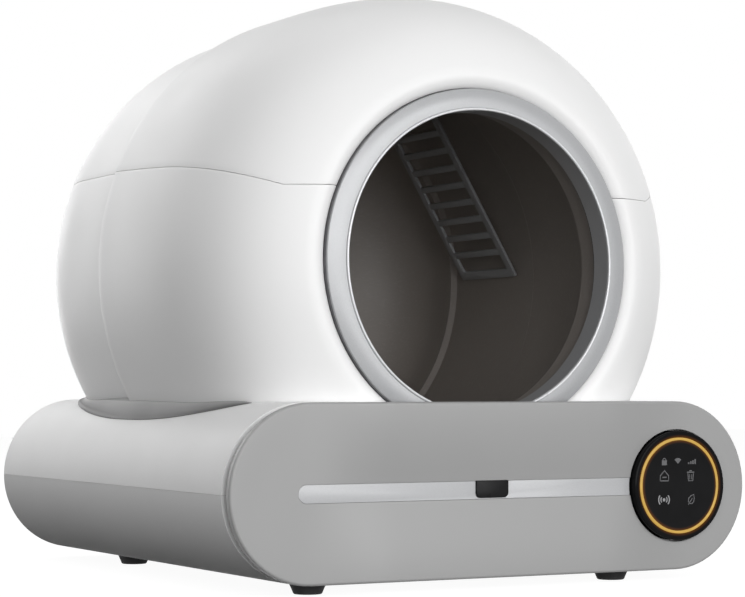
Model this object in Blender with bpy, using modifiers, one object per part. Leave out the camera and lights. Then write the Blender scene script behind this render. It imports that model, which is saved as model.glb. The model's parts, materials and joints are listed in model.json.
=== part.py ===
"""Self-cleaning litter box: a motor-driven litter drum inside a globe-shaped casing, on a
pill-shaped base that holds a waste drawer, the drive and a round touch display.

Metres, +Z up, the entrance towards -Y. The origin lies on the floor under the middle of the
machine. A value whose name ends in _at is a distance behind the front panel's face, and one
that ends in _z is a height above the floor.
"""

import math

import bmesh
import bpy

# Clearances that all the pieces share
FIT = 0.0003
OVERRUN = 0.010
RUNNING = 0.005

# Base: two mouldings that meet at half height, behind the drawer's front panel
BASE_WIDTH = 0.549
BASE_HEIGHT = 0.160
BASE_DEPTH = 0.580
BASE_WALL = 0.003
BASE_PARTING = 0.0006
BASE_REAR_ROUND = 0.010
ROUND_PROFILE_SHARE = 0.5
LEDGE_BELOW_TOP = 0.041
LEDGE_THICKNESS = 0.004

# Feet: short rubber cones under the lower tray
FOOT_HEIGHT = 0.010
FOOT_TOP_RADIUS = 0.0175
FOOT_SOLE_RADIUS = 0.013
FOOT_LEFT_INSET = 0.0955
FOOT_RIGHT_INSET = 0.1285
FOOT_FRONT_AT = 0.040
FOOT_REAR_INSET = 0.142

# Front panel of the drawer
PANEL_THICKNESS = 0.014
PANEL_GAP = 0.003
PANEL_FACE = 0.004
PANEL_RIM = 0.003
PANEL_ROUND = 0.004

# Globe casing: a swollen solid of revolution about the drum's axis
GLOBE_RADIUS = 0.2687
GLOBE_SINK = 0.1387
GLOBE_FRONT_AT = 0.0181
GLOBE_FRONT_POWER = 3.58
GLOBE_WAIST_BEFORE_REAR = 0.2957
GLOBE_CREASE_BEHIND_WAIST = 0.0382
GLOBE_CREASE_STEP = 0.0068
GLOBE_REAR_INSET = 0.005
GLOBE_REAR_REACH = 0.1659
GLOBE_REAR_POWER = 2.6
CASING_WALL = 0.003
CASING_SEAT_FIT = 0.0006
CASING_NECK_INSET = 0.1057
CASING_NECK_LENGTH = 0.0079
COVER_HALF_ANGLE = math.radians(70)
COVER_SEAM = 0.0008
COVER_LEVEL_EDGE_UP = 0.0645

# Grey seat that flares from the globe onto the base
SEAT_REACH = 0.0175
SEAT_HEIGHT = 0.013
SEAT_LIP = 0.0012
SEAT_CREST = 0.0016
SEAT_REAR_SHARE = 0.25
SEAT_FLANK_OUT_SHARE = 0.35
SEAT_FLANK_UP_SHARE = 0.32
SEAT_FRONT_ANGLE = math.radians(44)
SEAT_FRONT_SHARE = 0.2
SEAT_SIDES = 44
SEAT_SINK = 0.008

# Entrance ring and its soft seal
RING_GAP = 0.0016
RING_FACE_WIDTH = 0.0207
RING_LIP_BEHIND_NECK = 0.0014
RING_EDGE_BEHIND_NECK = 0.0059
RING_LIP_ROUND = 0.0008
RING_WALL = 0.003
RING_FLANGE_LAP = 0.005
RING_FLANGE_THICKNESS = 0.003
RING_LENGTH = 0.0255
SEAL_LENGTH = 0.009

# Litter drum: two bowls that meet end to end
DRUM_GAP = 0.0587
DRUM_WALL = 0.003
DRUM_MOUTH_OUTSET = 0.0093
DRUM_MOUTH_BEHIND_RING = 0.006
DRUM_FRONT_REACH = 0.092
DRUM_NECK_LENGTH = 0.004
DRUM_STEP = 0.005
DRUM_STEP_BEFORE_SHOULDER = 0.022
DRUM_SHOULDER_BEHIND_GLOBE = 0.0429
DRUM_REAR_REACH = 0.093
DRUM_POWER = 2.5
PORT_WIDTH = 0.180
PORT_LENGTH = 0.110
PORT_BEFORE_STEP = 0.020
JOINT_BEFORE_PORT = 0.030

# Sieve: a slotted plate across a chord of the drum, beside the waste port
SIEVE_START_ANGLE = math.radians(29)
SIEVE_END_ANGLE = math.radians(89)
SIEVE_THICKNESS = 0.003
SIEVE_SLOTS = 9
SIEVE_MARGIN = 0.010
SIEVE_BAR_SHARE = 0.35

# Drive: a toothed ring round the drum and a pinion on the gear motor
GEAR_TEETH = 75
PINION_TEETH = 10
GEAR_RIM = 0.0044
GEAR_WIDTH = 0.014
GEAR_SETBACK = 0.0015
TOOTH_TIP_SHARE = 0.9
TOOTH_ROOT_SHARE = 1.15
TOOTH_BASE_WIDTH_SHARE = 0.60
TOOTH_TIP_WIDTH_SHARE = 0.20
PINION_ANGLE = math.radians(30)
PINION_GAP = 0.0003
SHAFT_RADIUS = 0.004
GEARBOX_RADIUS = 0.029
GEARBOX_LENGTH = 0.034
GEARBOX_SOCKET = 0.012
MOTOR_RADIUS = 0.018
MOTOR_LENGTH = 0.055
MOTOR_PLATE_THICKNESS = 0.003
MOTOR_PLATE_BOSS_RADIUS = 0.006

# Support rollers, each on an axle in a U-shaped bracket on the ledge
ROLLER_RADIUS = 0.014
ROLLER_WIDTH = 0.016
ROLLER_FLOOR_GAP = 0.0088
ROLLER_BEHIND_WAIST = 0.015
ROLLER_BEFORE_STEP = 0.030
AXLE_RADIUS = 0.003
BRACKET_WALL = 0.003
BRACKET_SIDE_GAP = 0.0005
BRACKET_HALF_WIDTH = 0.009
BRACKET_HEAD = 0.006
BRACKET_FLOOR = 0.004

# Drum position magnet and its sensor
MAGNET_SIZE = 0.010
MAGNET_THICKNESS = 0.003
MAGNET_ANGLE = math.radians(39)
MAGNET_BEHIND_JOINT = 0.020
SENSOR_GAP = 0.003
SENSOR_WIDTH = 0.008
SENSOR_LENGTH = 0.016
SENSOR_HEIGHT = 0.012

# Waste drawer: tub, bag frame and the rails that carry them
TUB_LEFT_INSET = 0.0045
TUB_BESIDE_DISPLAY = 0.0125
TUB_REAR_INSET = 0.151
TUB_RIM_BELOW_ROD = 0.01735
TUB_RIM_BELOW_DRUM = 0.012
TUB_WALL = 0.0025
TUB_CORNER = 0.015
BAG_FRAME_HEIGHT = 0.003
BAG_FRAME_WIDTH = 0.012
BAG_FRAME_FRONT_AT = 0.024
RAIL_FRONT_AT = 0.024
RAIL_FOOT_WIDTH = 0.022
RAIL_FOOT_HEIGHT = 0.004
RAIL_SIDE_THICKNESS = 0.0032
RAIL_SIDE_HEIGHT = 0.020
DOORWAY_SIDE_GAP = 0.004
DOORWAY_SILL = 0.002

# Pale strip across the front panel
STRIP_HEIGHT = 0.0162
STRIP_LEFT_INSET = 0.0665
STRIP_RECESS = 0.0009
STRIP_THICKNESS = 0.0013
STRIP_SLOT_DEPTH = 0.0025

# Push-to-release tab in the strip, its spring, carrier and catch
TAB_WIDTH = 0.034
TAB_HEIGHT = 0.0153
TAB_MIDDLE_X = -0.011
TAB_CORNER = 0.0035
TAB_PROUD = 0.0008
TAB_STROKE = 0.003
TAB_FLANGE_BORDER = 0.003
TAB_FLANGE_THICKNESS = 0.0015
TAB_ROD_RADIUS = 0.0025
TAB_ROD_UP = 0.0042
TAB_ROD_REAR_AT = 0.030
CARRIER_AT = 0.0117
CARRIER_THICKNESS = 0.002
CARRIER_LEG = 0.003
CARRIER_BORDER = 0.002
CARRIER_HEIGHT = 0.014
SPRING_RADIUS = 0.0045
SPRING_WIRE_RADIUS = 0.0004
SPRING_TURNS = 3.5
SPRING_POINTS_A_TURN = 10
CATCH_WIDTH = 0.024
CATCH_HEIGHT = 0.016
CATCH_DEPTH = 0.025
CATCH_SOCKET = 0.016
CATCH_BELOW_ROD_SHARE = 0.25
ROD_HOLE_GAP = 0.001

# Round display that stands through a hole in the front panel
DISPLAY_RADIUS = 0.052
DISPLAY_PROUD = 0.006
DISPLAY_EDGE = 0.001
DISPLAY_WALL = 0.003
DISPLAY_RECESS_RADIUS = 0.0462
DISPLAY_RECESS_DEPTH = 0.0025
DISPLAY_HOLE_GAP = 0.0015
LIGHT_RING_RADIUS = 0.0441
LIGHT_RING_WIDTH = 0.0030
BOARD_THICKNESS = 0.0016

# Control board on four posts and the power inlet in the rear wall
BOARD_BESIDE_TUB = 0.016
BOARD_WIDTH = 0.074
BOARD_FRONT_AT = 0.120
BOARD_LENGTH = 0.150
BOARD_POST_RADIUS = 0.004
BOARD_POST_HEIGHT = 0.011
BOARD_POST_INSET = 0.008
CHIP_SIZE = 0.018
CHIP_HEIGHT = 0.003
CHIP_COUNT = 2
INLET_INSET = 0.0745
INLET_Z = 0.060
INLET_RADIUS = 0.0065
INLET_LENGTH = 0.016
INLET_FLANGE_RADIUS = 0.010
INLET_FLANGE_THICKNESS = 0.002
INLET_BORE_RADIUS = 0.0038
INLET_BORE_DEPTH = 0.011

# Facets, and the angles that tell a smooth edge from a sharp one
SMOOTH_ANGLE = math.radians(30)
RIM_ANGLE = math.radians(60)
MERGE_DISTANCE = 0.00001
SEARCH_STEPS = 40
CORNER_STEPS = 3
PILL_STEPS = 9
GLOBE_SIDES = 48
GLOBE_FRONT_STEPS = 8
GLOBE_REAR_STEPS = 6
DRUM_SIDES = 40
DRUM_STEPS = 5
RING_SIDES = 48
DISPLAY_SIDES = 40
DISC_SIDES = 24
ROD_SIDES = 12

# Heights and stations that follow from the sizes above
FRONT_Y = -(BASE_DEPTH - DISPLAY_PROUD) / 2
BASE_MIDDLE_Z = FOOT_HEIGHT + BASE_HEIGHT / 2
BASE_TOP_Z = FOOT_HEIGHT + BASE_HEIGHT
FLOOR_Z = FOOT_HEIGHT + BASE_WALL
BODY_FRONT_AT = PANEL_THICKNESS + PANEL_GAP
BODY_INNER_FRONT_AT = BODY_FRONT_AT + BASE_WALL
BODY_INNER_REAR_AT = BASE_DEPTH - BASE_WALL
LEDGE_Z = BASE_TOP_Z - LEDGE_BELOW_TOP
CASING_FOOT_Z = LEDGE_Z + 2 * FIT
FOOT_LEFT_X = FOOT_LEFT_INSET - BASE_WIDTH / 2
FOOT_RIGHT_X = BASE_WIDTH / 2 - FOOT_RIGHT_INSET
FOOT_REAR_AT = BASE_DEPTH - FOOT_REAR_INSET
AXIS_Z = BASE_TOP_Z + GLOBE_RADIUS - GLOBE_SINK
GLOBE_REAR_RADIUS = GLOBE_RADIUS - GLOBE_CREASE_STEP
GLOBE_REAR_AT = BASE_DEPTH - GLOBE_REAR_INSET
GLOBE_WAIST_AT = GLOBE_REAR_AT - GLOBE_WAIST_BEFORE_REAR
GLOBE_FRONT_REACH = GLOBE_WAIST_AT - GLOBE_FRONT_AT
GLOBE_CREASE_AT = GLOBE_WAIST_AT + GLOBE_CREASE_BEHIND_WAIST
GLOBE_SHOULDER_AT = GLOBE_REAR_AT - GLOBE_REAR_REACH
SEAT_MIDDLE_AT = (GLOBE_FRONT_AT + GLOBE_REAR_AT) / 2
CASING_NECK_RADIUS = GLOBE_RADIUS - CASING_NECK_INSET
CASING_NECK_SHARE = (CASING_NECK_RADIUS / GLOBE_RADIUS) ** GLOBE_FRONT_POWER
CASING_NECK_REACH = GLOBE_FRONT_REACH * (1 - CASING_NECK_SHARE) ** (1 / GLOBE_FRONT_POWER)
CASING_NECK_AT = GLOBE_WAIST_AT - CASING_NECK_REACH
CASING_NECK_REAR_AT = CASING_NECK_AT + CASING_NECK_LENGTH
RING_LIP_AT = CASING_NECK_AT + RING_LIP_BEHIND_NECK
RING_EDGE_AT = CASING_NECK_AT + RING_EDGE_BEHIND_NECK
RING_REAR_AT = RING_LIP_AT + RING_LENGTH
RING_OUTER_RADIUS = CASING_NECK_RADIUS - RING_GAP
RING_INNER_RADIUS = RING_OUTER_RADIUS - RING_FACE_WIDTH
RING_FLANGE_RADIUS = CASING_NECK_RADIUS + RING_FLANGE_LAP
DRUM_MOUTH_RADIUS = RING_INNER_RADIUS + DRUM_MOUTH_OUTSET
DRUM_MOUTH_AT = RING_REAR_AT + DRUM_MOUTH_BEHIND_RING
DRUM_WAIST_AT = DRUM_MOUTH_AT + DRUM_NECK_LENGTH + DRUM_FRONT_REACH
DRUM_RADIUS = GLOBE_RADIUS - DRUM_GAP
DRUM_SHOULDER_AT = GLOBE_SHOULDER_AT + DRUM_SHOULDER_BEHIND_GLOBE
DRUM_REAR_AT = DRUM_SHOULDER_AT + DRUM_REAR_REACH
DRUM_STEP_AT = DRUM_SHOULDER_AT - DRUM_STEP_BEFORE_SHOULDER
PORT_FRONT_AT = DRUM_STEP_AT - PORT_BEFORE_STEP - PORT_LENGTH
DRUM_JOINT_AT = PORT_FRONT_AT - JOINT_BEFORE_PORT
MAGNET_AT = DRUM_JOINT_AT + MAGNET_BEHIND_JOINT
ROLLER_FRONT_AT = DRUM_WAIST_AT + ROLLER_BEHIND_WAIST
ROLLER_REAR_AT = DRUM_STEP_AT - ROLLER_BEFORE_STEP
GEAR_AT = DRUM_STEP_AT + DRUM_STEP + GEAR_SETBACK
GEAR_SEAT_RADIUS = DRUM_RADIUS - DRUM_STEP
GEAR_MODULE = (GEAR_SEAT_RADIUS + GEAR_RIM) / (GEAR_TEETH / 2 - TOOTH_ROOT_SHARE)
GEAR_PITCH_RADIUS = GEAR_MODULE * GEAR_TEETH / 2
PINION_PITCH_RADIUS = GEAR_MODULE * PINION_TEETH / 2
GEAR_TIP_RADIUS = GEAR_PITCH_RADIUS + TOOTH_TIP_SHARE * GEAR_MODULE
PINION_DISTANCE = GEAR_PITCH_RADIUS + PINION_PITCH_RADIUS + PINION_GAP
PINION_X = PINION_DISTANCE * math.sin(PINION_ANGLE)
PINION_Z = AXIS_Z - PINION_DISTANCE * math.cos(PINION_ANGLE)
MOTOR_PLATE_AT = GEAR_AT + GEAR_WIDTH + GEAR_SETBACK
GEARBOX_AT = MOTOR_PLATE_AT + MOTOR_PLATE_THICKNESS + FIT
MOTOR_AT = GEARBOX_AT + GEARBOX_LENGTH + FIT
ROLLER_DISTANCE = DRUM_RADIUS + FIT + ROLLER_RADIUS
ROLLER_Z = LEDGE_Z + BRACKET_FLOOR + ROLLER_FLOOR_GAP + ROLLER_RADIUS
ROLLER_X = math.sqrt(ROLLER_DISTANCE**2 - (AXIS_Z - ROLLER_Z) ** 2)
END_X = (BASE_WIDTH - BASE_HEIGHT) / 2
DISPLAY_X = END_X
TUB_LEFT_X = TUB_LEFT_INSET - END_X
TUB_RIGHT_X = DISPLAY_X - DISPLAY_RADIUS - TUB_BESIDE_DISPLAY
TUB_WIDTH = TUB_RIGHT_X - TUB_LEFT_X
TUB_MIDDLE_X = (TUB_RIGHT_X + TUB_LEFT_X) / 2
TUB_Z = FLOOR_Z + RAIL_FOOT_HEIGHT + 2 * FIT
TUB_FRONT_AT = PANEL_FACE + FIT
TUB_REAR_AT = BASE_DEPTH - TUB_REAR_INSET
STRIP_LEFT_X = STRIP_LEFT_INSET - BASE_WIDTH / 2
STRIP_TOP_Z = BASE_MIDDLE_Z + STRIP_HEIGHT / 2
TAB_TOP_Z = STRIP_TOP_Z + FIT
TAB_MIDDLE_Z = TAB_TOP_Z - TAB_HEIGHT / 2
ROD_Z = TAB_MIDDLE_Z + TAB_ROD_UP
TUB_RIM_Z = min(ROD_Z - TUB_RIM_BELOW_ROD, AXIS_Z - DRUM_RADIUS - TUB_RIM_BELOW_DRUM)
TUB_HEIGHT = TUB_RIM_Z - TUB_Z
TAB_FLANGE_AT = PANEL_FACE + FIT
DISPLAY_SEAT_AT = DISPLAY_RECESS_DEPTH - DISPLAY_PROUD
DISPLAY_BOARD_AT = DISPLAY_SEAT_AT + DISPLAY_WALL + FIT
DISPLAY_HOLE_RADIUS = DISPLAY_RADIUS + DISPLAY_HOLE_GAP
BOARD_LEFT_X = TUB_RIGHT_X + BOARD_BESIDE_TUB
BOARD_Z = FLOOR_Z + BOARD_POST_HEIGHT + FIT
INLET_X = BASE_WIDTH / 2 - INLET_INSET

# Colour (linear), metallic and roughness of each finish
FINISHES = {
    "white_plastic": ((0.90, 0.90, 0.90), 0.0, 0.30),
    "light_grey_plastic": ((0.77, 0.77, 0.77), 0.0, 0.40),
    "grey_plastic": ((0.38, 0.38, 0.385), 0.0, 0.42),
    "dark_seat": ((0.21, 0.21, 0.21), 0.0, 0.55),
    "silver_plastic": ((0.62, 0.63, 0.64), 0.2, 0.30),
    "pale_strip": ((0.74, 0.75, 0.76), 0.1, 0.28),
    "drum_plastic": ((0.16, 0.15, 0.145), 0.0, 0.50),
    "soft_seal": ((0.10, 0.10, 0.10), 0.0, 0.75),
    "black_rubber": ((0.035, 0.035, 0.035), 0.0, 0.80),
    "black_plastic": ((0.030, 0.030, 0.032), 0.0, 0.50),
    "black_gloss": ((0.008, 0.008, 0.009), 0.0, 0.12),
    "amber_light": ((0.80, 0.40, 0.09), 0.0, 0.30),
    "gear_plastic": ((0.72, 0.71, 0.66), 0.0, 0.45),
    "inner_plastic": ((0.30, 0.31, 0.32), 0.0, 0.50),
    "steel": ((0.56, 0.56, 0.57), 1.0, 0.30),
    "circuit_board": ((0.02, 0.16, 0.07), 0.0, 0.45),
}

PARTS = "self_cleaning_litter_box"
CUTTERS = "cutters"


def clear_scene():
    """Removes what is in the file and makes the two collections."""
    for obj in list(bpy.data.objects):
        bpy.data.objects.remove(obj, do_unlink=True)
    for name in (PARTS, CUTTERS):
        collection = bpy.data.collections.new(name)
        bpy.context.scene.collection.children.link(collection)
    bpy.data.collections[CUTTERS].hide_render = True


def at_y(distance):
    """World Y of a place this far behind the front panel's face."""
    return FRONT_Y + distance


def make_material(name):
    """One Principled material for each part that uses the finish."""
    color, metallic, roughness = FINISHES[name]
    material = bpy.data.materials.new(name)
    material.use_nodes = True
    shader = material.node_tree.nodes["Principled BSDF"]
    shader.inputs["Base Color"].default_value = (*color, 1)
    shader.inputs["Metallic"].default_value = metallic
    shader.inputs["Roughness"].default_value = roughness
    return material


def add_object(name, mesh, finish=None):
    """Links a part when it has a finish, and a hidden cutter when it has none."""
    obj = bpy.data.objects.new(name, mesh)
    if finish:
        bpy.data.collections[PARTS].objects.link(obj)
        mesh.materials.append(make_material(finish))
        mesh.shade_smooth()
        mesh.set_sharp_from_angle(angle=SMOOTH_ANGLE)
    else:
        bpy.data.collections[CUTTERS].objects.link(obj)
        obj.hide_render = True
        obj.display_type = "WIRE"
    return obj


def add_boolean(obj, tool, operation="DIFFERENCE"):
    """Cuts the tool from the object, joins it on, or keeps what they share."""
    modifier = obj.modifiers.new(tool.name, "BOOLEAN")
    modifier.operation = operation
    modifier.object = tool
    modifier.solver = "EXACT"


def add_pivot(name, location):
    """An empty on a joint's axis."""
    pivot = bpy.data.objects.new(name, None)
    pivot.empty_display_size = ROLLER_RADIUS
    pivot.location = location
    bpy.data.collections[PARTS].objects.link(pivot)
    return pivot


def hang_on(pivot, *parts):
    """Parents the parts to the pivot and leaves them where they are."""
    bpy.context.view_layer.update()
    for part in parts:
        part.parent = pivot
        part.matrix_parent_inverse = pivot.matrix_world.inverted()


def circle(radius, sides, middle=(0, 0)):
    """Outline points of a circle."""
    turns = [2 * math.pi * i / sides for i in range(sides)]
    return [(middle[0] + radius * math.cos(t), middle[1] + radius * math.sin(t)) for t in turns]


def arc(radius, start, end, steps, middle=(0, 0)):
    """Points from one angle to another, both ends included."""
    turns = [start + (end - start) * i / steps for i in range(steps + 1)]
    return [(middle[0] + radius * math.cos(t), middle[1] + radius * math.sin(t)) for t in turns]


def rectangle(low_x, low_y, high_x, high_y):
    """Outline points of a rectangle."""
    return [(low_x, low_y), (high_x, low_y), (high_x, high_y), (low_x, high_y)]


def rounded_rectangle(width, length, radius, steps=CORNER_STEPS):
    """Outline of a rectangle with round corners, centred on zero."""
    across, along = width / 2 - radius, length / 2 - radius
    middles = ((across, along), (-across, along), (-across, -along), (across, -along))
    points = []
    for corner, middle in enumerate(middles):
        start = corner * math.pi / 2
        points += arc(radius, start, start + math.pi / 2, steps, middle)
    return points


def pill_outline(inset=0):
    """The base's cross-section about its own middle, drawn in by the inset."""
    radius = BASE_HEIGHT / 2 - inset
    middle = (BASE_WIDTH - BASE_HEIGHT) / 2
    right = arc(radius, -math.pi / 2, math.pi / 2, 2 * PILL_STEPS, (middle, 0))
    left = arc(radius, math.pi / 2, 3 * math.pi / 2, 2 * PILL_STEPS, (-middle, 0))
    return right + left


def half_pill_outline(side):
    """The upper (side 1) or lower (side -1) half, half the parting gap off the middle."""
    radius = BASE_HEIGHT / 2
    middle = (BASE_WIDTH - BASE_HEIGHT) / 2
    start = math.asin(BASE_PARTING / 2 / radius)
    right = arc(radius, start, math.pi / 2, PILL_STEPS, (middle, 0))
    left = arc(radius, math.pi / 2, math.pi - start, PILL_STEPS, (-middle, 0))
    return [(x, side * z) for x, z in right + left]


def plate(name, outlines, thickness, finish=None, location=(0, 0, 0), rotation=(0, 0, 0)):
    """A flat outline, with any holes, thickened evenly to both sides."""
    curve = bpy.data.curves.new(name, "CURVE")
    curve.dimensions = "2D"
    curve.fill_mode = "BOTH"
    curve.extrude = thickness / 2
    for outline in outlines:
        spline = curve.splines.new("POLY")
        spline.points.add(len(outline) - 1)
        for point, (x, y) in zip(spline.points, outline):
            point.co = (x, y, 0, 1)
        spline.use_cyclic_u = True
    return mesh_from_curve(name, curve, finish, location, rotation)


def mesh_from_curve(name, curve, finish, location, rotation):
    """Turns a curve into a closed mesh object and removes the curve."""
    guide = bpy.data.objects.new(name + "_guide", curve)
    bpy.context.scene.collection.objects.link(guide)
    graph = bpy.context.evaluated_depsgraph_get()
    mesh = bpy.data.meshes.new_from_object(guide.evaluated_get(graph))
    mesh.name = name
    bpy.data.objects.remove(guide)
    bpy.data.curves.remove(curve)
    mesh.materials.clear()
    shape = bmesh.new()
    shape.from_mesh(mesh)
    bmesh.ops.remove_doubles(shape, verts=shape.verts, dist=MERGE_DISTANCE)
    bmesh.ops.recalc_face_normals(shape, faces=shape.faces)
    shape.to_mesh(mesh)
    shape.free()
    obj = add_object(name, mesh, finish)
    obj.location = location
    obj.rotation_euler = rotation
    return obj


def slab(name, outlines, front_at, rear_at, finish=None, middle=(0, 0)):
    """A plate that stands across the machine: outline in X and Z, thickness along Y."""
    location = (middle[0], at_y((front_at + rear_at) / 2), middle[1])
    turn = (math.pi / 2, 0, 0)
    return plate(name, outlines, rear_at - front_at, finish, location, turn)


def box(name, low, high, finish=None):
    """A block between two corners. Y is given as distances behind the front face."""
    mesh = bpy.data.meshes.new(name)
    shape = bmesh.new()
    bmesh.ops.create_cube(shape, size=1)
    size = [b - a for a, b in zip(low, high)]
    bmesh.ops.scale(shape, vec=size, verts=shape.verts)
    shape.to_mesh(mesh)
    shape.free()
    obj = add_object(name, mesh, finish)
    middle = [(a + b) / 2 for a, b in zip(low, high)]
    obj.location = (middle[0], at_y(middle[1]), middle[2])
    return obj


def turned(name, profile, sides, finish=None, closed=True, middle=(0, AXIS_Z)):
    """A solid of revolution about an axis along Y. The profile holds (radius, distance)
    pairs that run from front to rear along its outer side."""
    mesh = bpy.data.meshes.new(name)
    count = len(profile)
    edges = [(i, i + 1) for i in range(count - 1)]
    if closed:
        edges.append((count - 1, 0))
    mesh.from_pydata([(radius, 0, -distance) for radius, distance in profile], edges, [])
    obj = add_object(name, mesh, finish)
    obj.location = (middle[0], at_y(0), middle[1])
    obj.rotation_euler = (math.pi / 2, 0, 0)
    screw = obj.modifiers.new("turn", "SCREW")
    screw.steps = sides
    screw.render_steps = sides
    screw.use_merge_vertices = True
    screw.merge_threshold = MERGE_DISTANCE
    screw.use_smooth_shade = True
    return obj


def bevel_rim(obj, rear, radius, segments=CORNER_STEPS):
    """Rounds the outer edge of a slab's front or rear face, but not along the parting."""
    shape = bmesh.new()
    shape.from_mesh(obj.data)
    depth = min(v.co.z for v in shape.verts) if rear else max(v.co.z for v in shape.verts)
    rim = []
    for edge in shape.edges:
        on_face = all(abs(v.co.z - depth) < FIT for v in edge.verts)
        on_parting = all(abs(v.co.y) < BASE_PARTING for v in edge.verts)
        if on_face and not on_parting and edge.calc_face_angle(0) > RIM_ANGLE:
            rim.append(edge)
    bmesh.ops.bevel(
        shape,
        geom=rim,
        offset=radius,
        segments=segments,
        profile=ROUND_PROFILE_SHARE,
        affect="EDGES",
    )
    shape.to_mesh(obj.data)
    shape.free()
    obj.data.set_sharp_from_angle(angle=SMOOTH_ANGLE)


def bulge(radius, reach, power, start_share, steps):
    """A rounded end, from a share of its radius to the full one, as pairs of a radius and
    the distance that is left to the full radius."""
    start = math.asin(start_share ** (power / 2))
    points = []
    for i in range(steps + 1):
        angle = start + (math.pi / 2 - start) * i / steps
        across = radius * math.sin(angle) ** (2 / power)
        along = reach * max(math.cos(angle), 0) ** (2 / power)
        points.append((across, along))
    return points


def globe_front(start_share, inset=0):
    """Profile of the globe from the entrance to its widest place."""
    points = bulge(
        GLOBE_RADIUS - inset,
        GLOBE_FRONT_REACH - inset,
        GLOBE_FRONT_POWER,
        start_share,
        GLOBE_FRONT_STEPS,
    )
    return [(radius, GLOBE_WAIST_AT - left) for radius, left in points]


def globe_rear(inset=0):
    """Profile of the globe's rear dome, from its shoulder to the pole."""
    points = bulge(
        GLOBE_REAR_RADIUS - inset, GLOBE_REAR_REACH - inset, GLOBE_REAR_POWER, 0, GLOBE_REAR_STEPS
    )
    return [(radius, GLOBE_SHOULDER_AT + left) for radius, left in reversed(points)]


def globe_radius_at(distance):
    """The globe's outer radius at a distance behind the front face."""
    if distance < GLOBE_CREASE_AT:
        radius, power = GLOBE_RADIUS, GLOBE_FRONT_POWER
        share = max(GLOBE_WAIST_AT - distance, 0) / GLOBE_FRONT_REACH
    else:
        radius, power = GLOBE_REAR_RADIUS, GLOBE_REAR_POWER
        share = max(distance - GLOBE_SHOULDER_AT, 0) / GLOBE_REAR_REACH
    return radius * max(1 - share**power, 0) ** (1 / power)


def deck_z(x):
    """Height of the base's outer surface above the floor, at a place across the base."""
    radius = BASE_HEIGHT / 2
    over = max(abs(x) - (BASE_WIDTH - BASE_HEIGHT) / 2, 0)
    return BASE_MIDDLE_Z + math.sqrt(max(radius**2 - over**2, 0))


def globe_cutter(name, grown):
    """The globe's outer form with a clearance, as one closed solid, flat at the front."""
    front = globe_front(CASING_NECK_RADIUS / GLOBE_RADIUS, -grown)
    front.insert(0, (0, front[0][1]))
    step = [(GLOBE_RADIUS + grown, GLOBE_CREASE_AT + grown)]
    step.append((GLOBE_REAR_RADIUS + grown, GLOBE_CREASE_AT + 2 * grown))
    return turned(name, front + step + globe_rear(-grown), GLOBE_SIDES, closed=False)


def make_base():
    """Lower tray, upper body and feet."""
    tray = slab(
        "base_lower_tray",
        [half_pill_outline(-1)],
        BODY_FRONT_AT,
        BASE_DEPTH,
        "light_grey_plastic",
        (0, BASE_MIDDLE_Z),
    )
    body = slab(
        "base_upper_body",
        [half_pill_outline(1)],
        BODY_FRONT_AT,
        BASE_DEPTH,
        "light_grey_plastic",
        (0, BASE_MIDDLE_Z),
    )
    hollow = slab(
        "base_hollow",
        [pill_outline(BASE_WALL)],
        BODY_INNER_FRONT_AT,
        BODY_INNER_REAR_AT,
        middle=(0, BASE_MIDDLE_Z),
    )
    bevel_rim(hollow, True, BASE_REAR_ROUND - BASE_WALL)
    for half in (tray, body):
        bevel_rim(half, True, BASE_REAR_ROUND)
        add_boolean(half, hollow)
    finish_tray(tray)
    finish_body(body)
    make_feet()


def finish_tray(tray):
    """Doorway for the drawer, posts for the board and the hole for the power inlet."""
    doorway = box(
        "drawer_doorway",
        (
            TUB_MIDDLE_X - TUB_WIDTH / 2 - DOORWAY_SIDE_GAP,
            BODY_FRONT_AT - OVERRUN,
            FLOOR_Z + DOORWAY_SILL,
        ),
        (
            TUB_MIDDLE_X + TUB_WIDTH / 2 + DOORWAY_SIDE_GAP,
            BODY_INNER_FRONT_AT + RUNNING,
            BASE_MIDDLE_Z + OVERRUN,
        ),
    )
    add_boolean(tray, doorway)
    for i, (x, distance) in enumerate(board_posts()):
        post = plate(
            f"board_post_{i}",
            [circle(BOARD_POST_RADIUS, ROD_SIDES)],
            BOARD_POST_HEIGHT + BASE_WALL / 2,
            location=(
                x,
                at_y(distance),
                FLOOR_Z + (BOARD_POST_HEIGHT - BASE_WALL / 2) / 2,
            ),
        )
        add_boolean(tray, post, "UNION")
    inlet = slab(
        "inlet_hole",
        [circle(INLET_RADIUS + FIT, ROD_SIDES)],
        BODY_INNER_REAR_AT - OVERRUN,
        BASE_DEPTH + OVERRUN,
        middle=(INLET_X, INLET_Z),
    )
    add_boolean(tray, inlet)


def board_posts():
    """Places of the four posts under the control board."""
    xs = (BOARD_LEFT_X + BOARD_POST_INSET, BOARD_LEFT_X + BOARD_WIDTH - BOARD_POST_INSET)
    ys = (BOARD_FRONT_AT + BOARD_POST_INSET, BOARD_FRONT_AT + BOARD_LENGTH - BOARD_POST_INSET)
    return [(x, y) for x in xs for y in ys]


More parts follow.
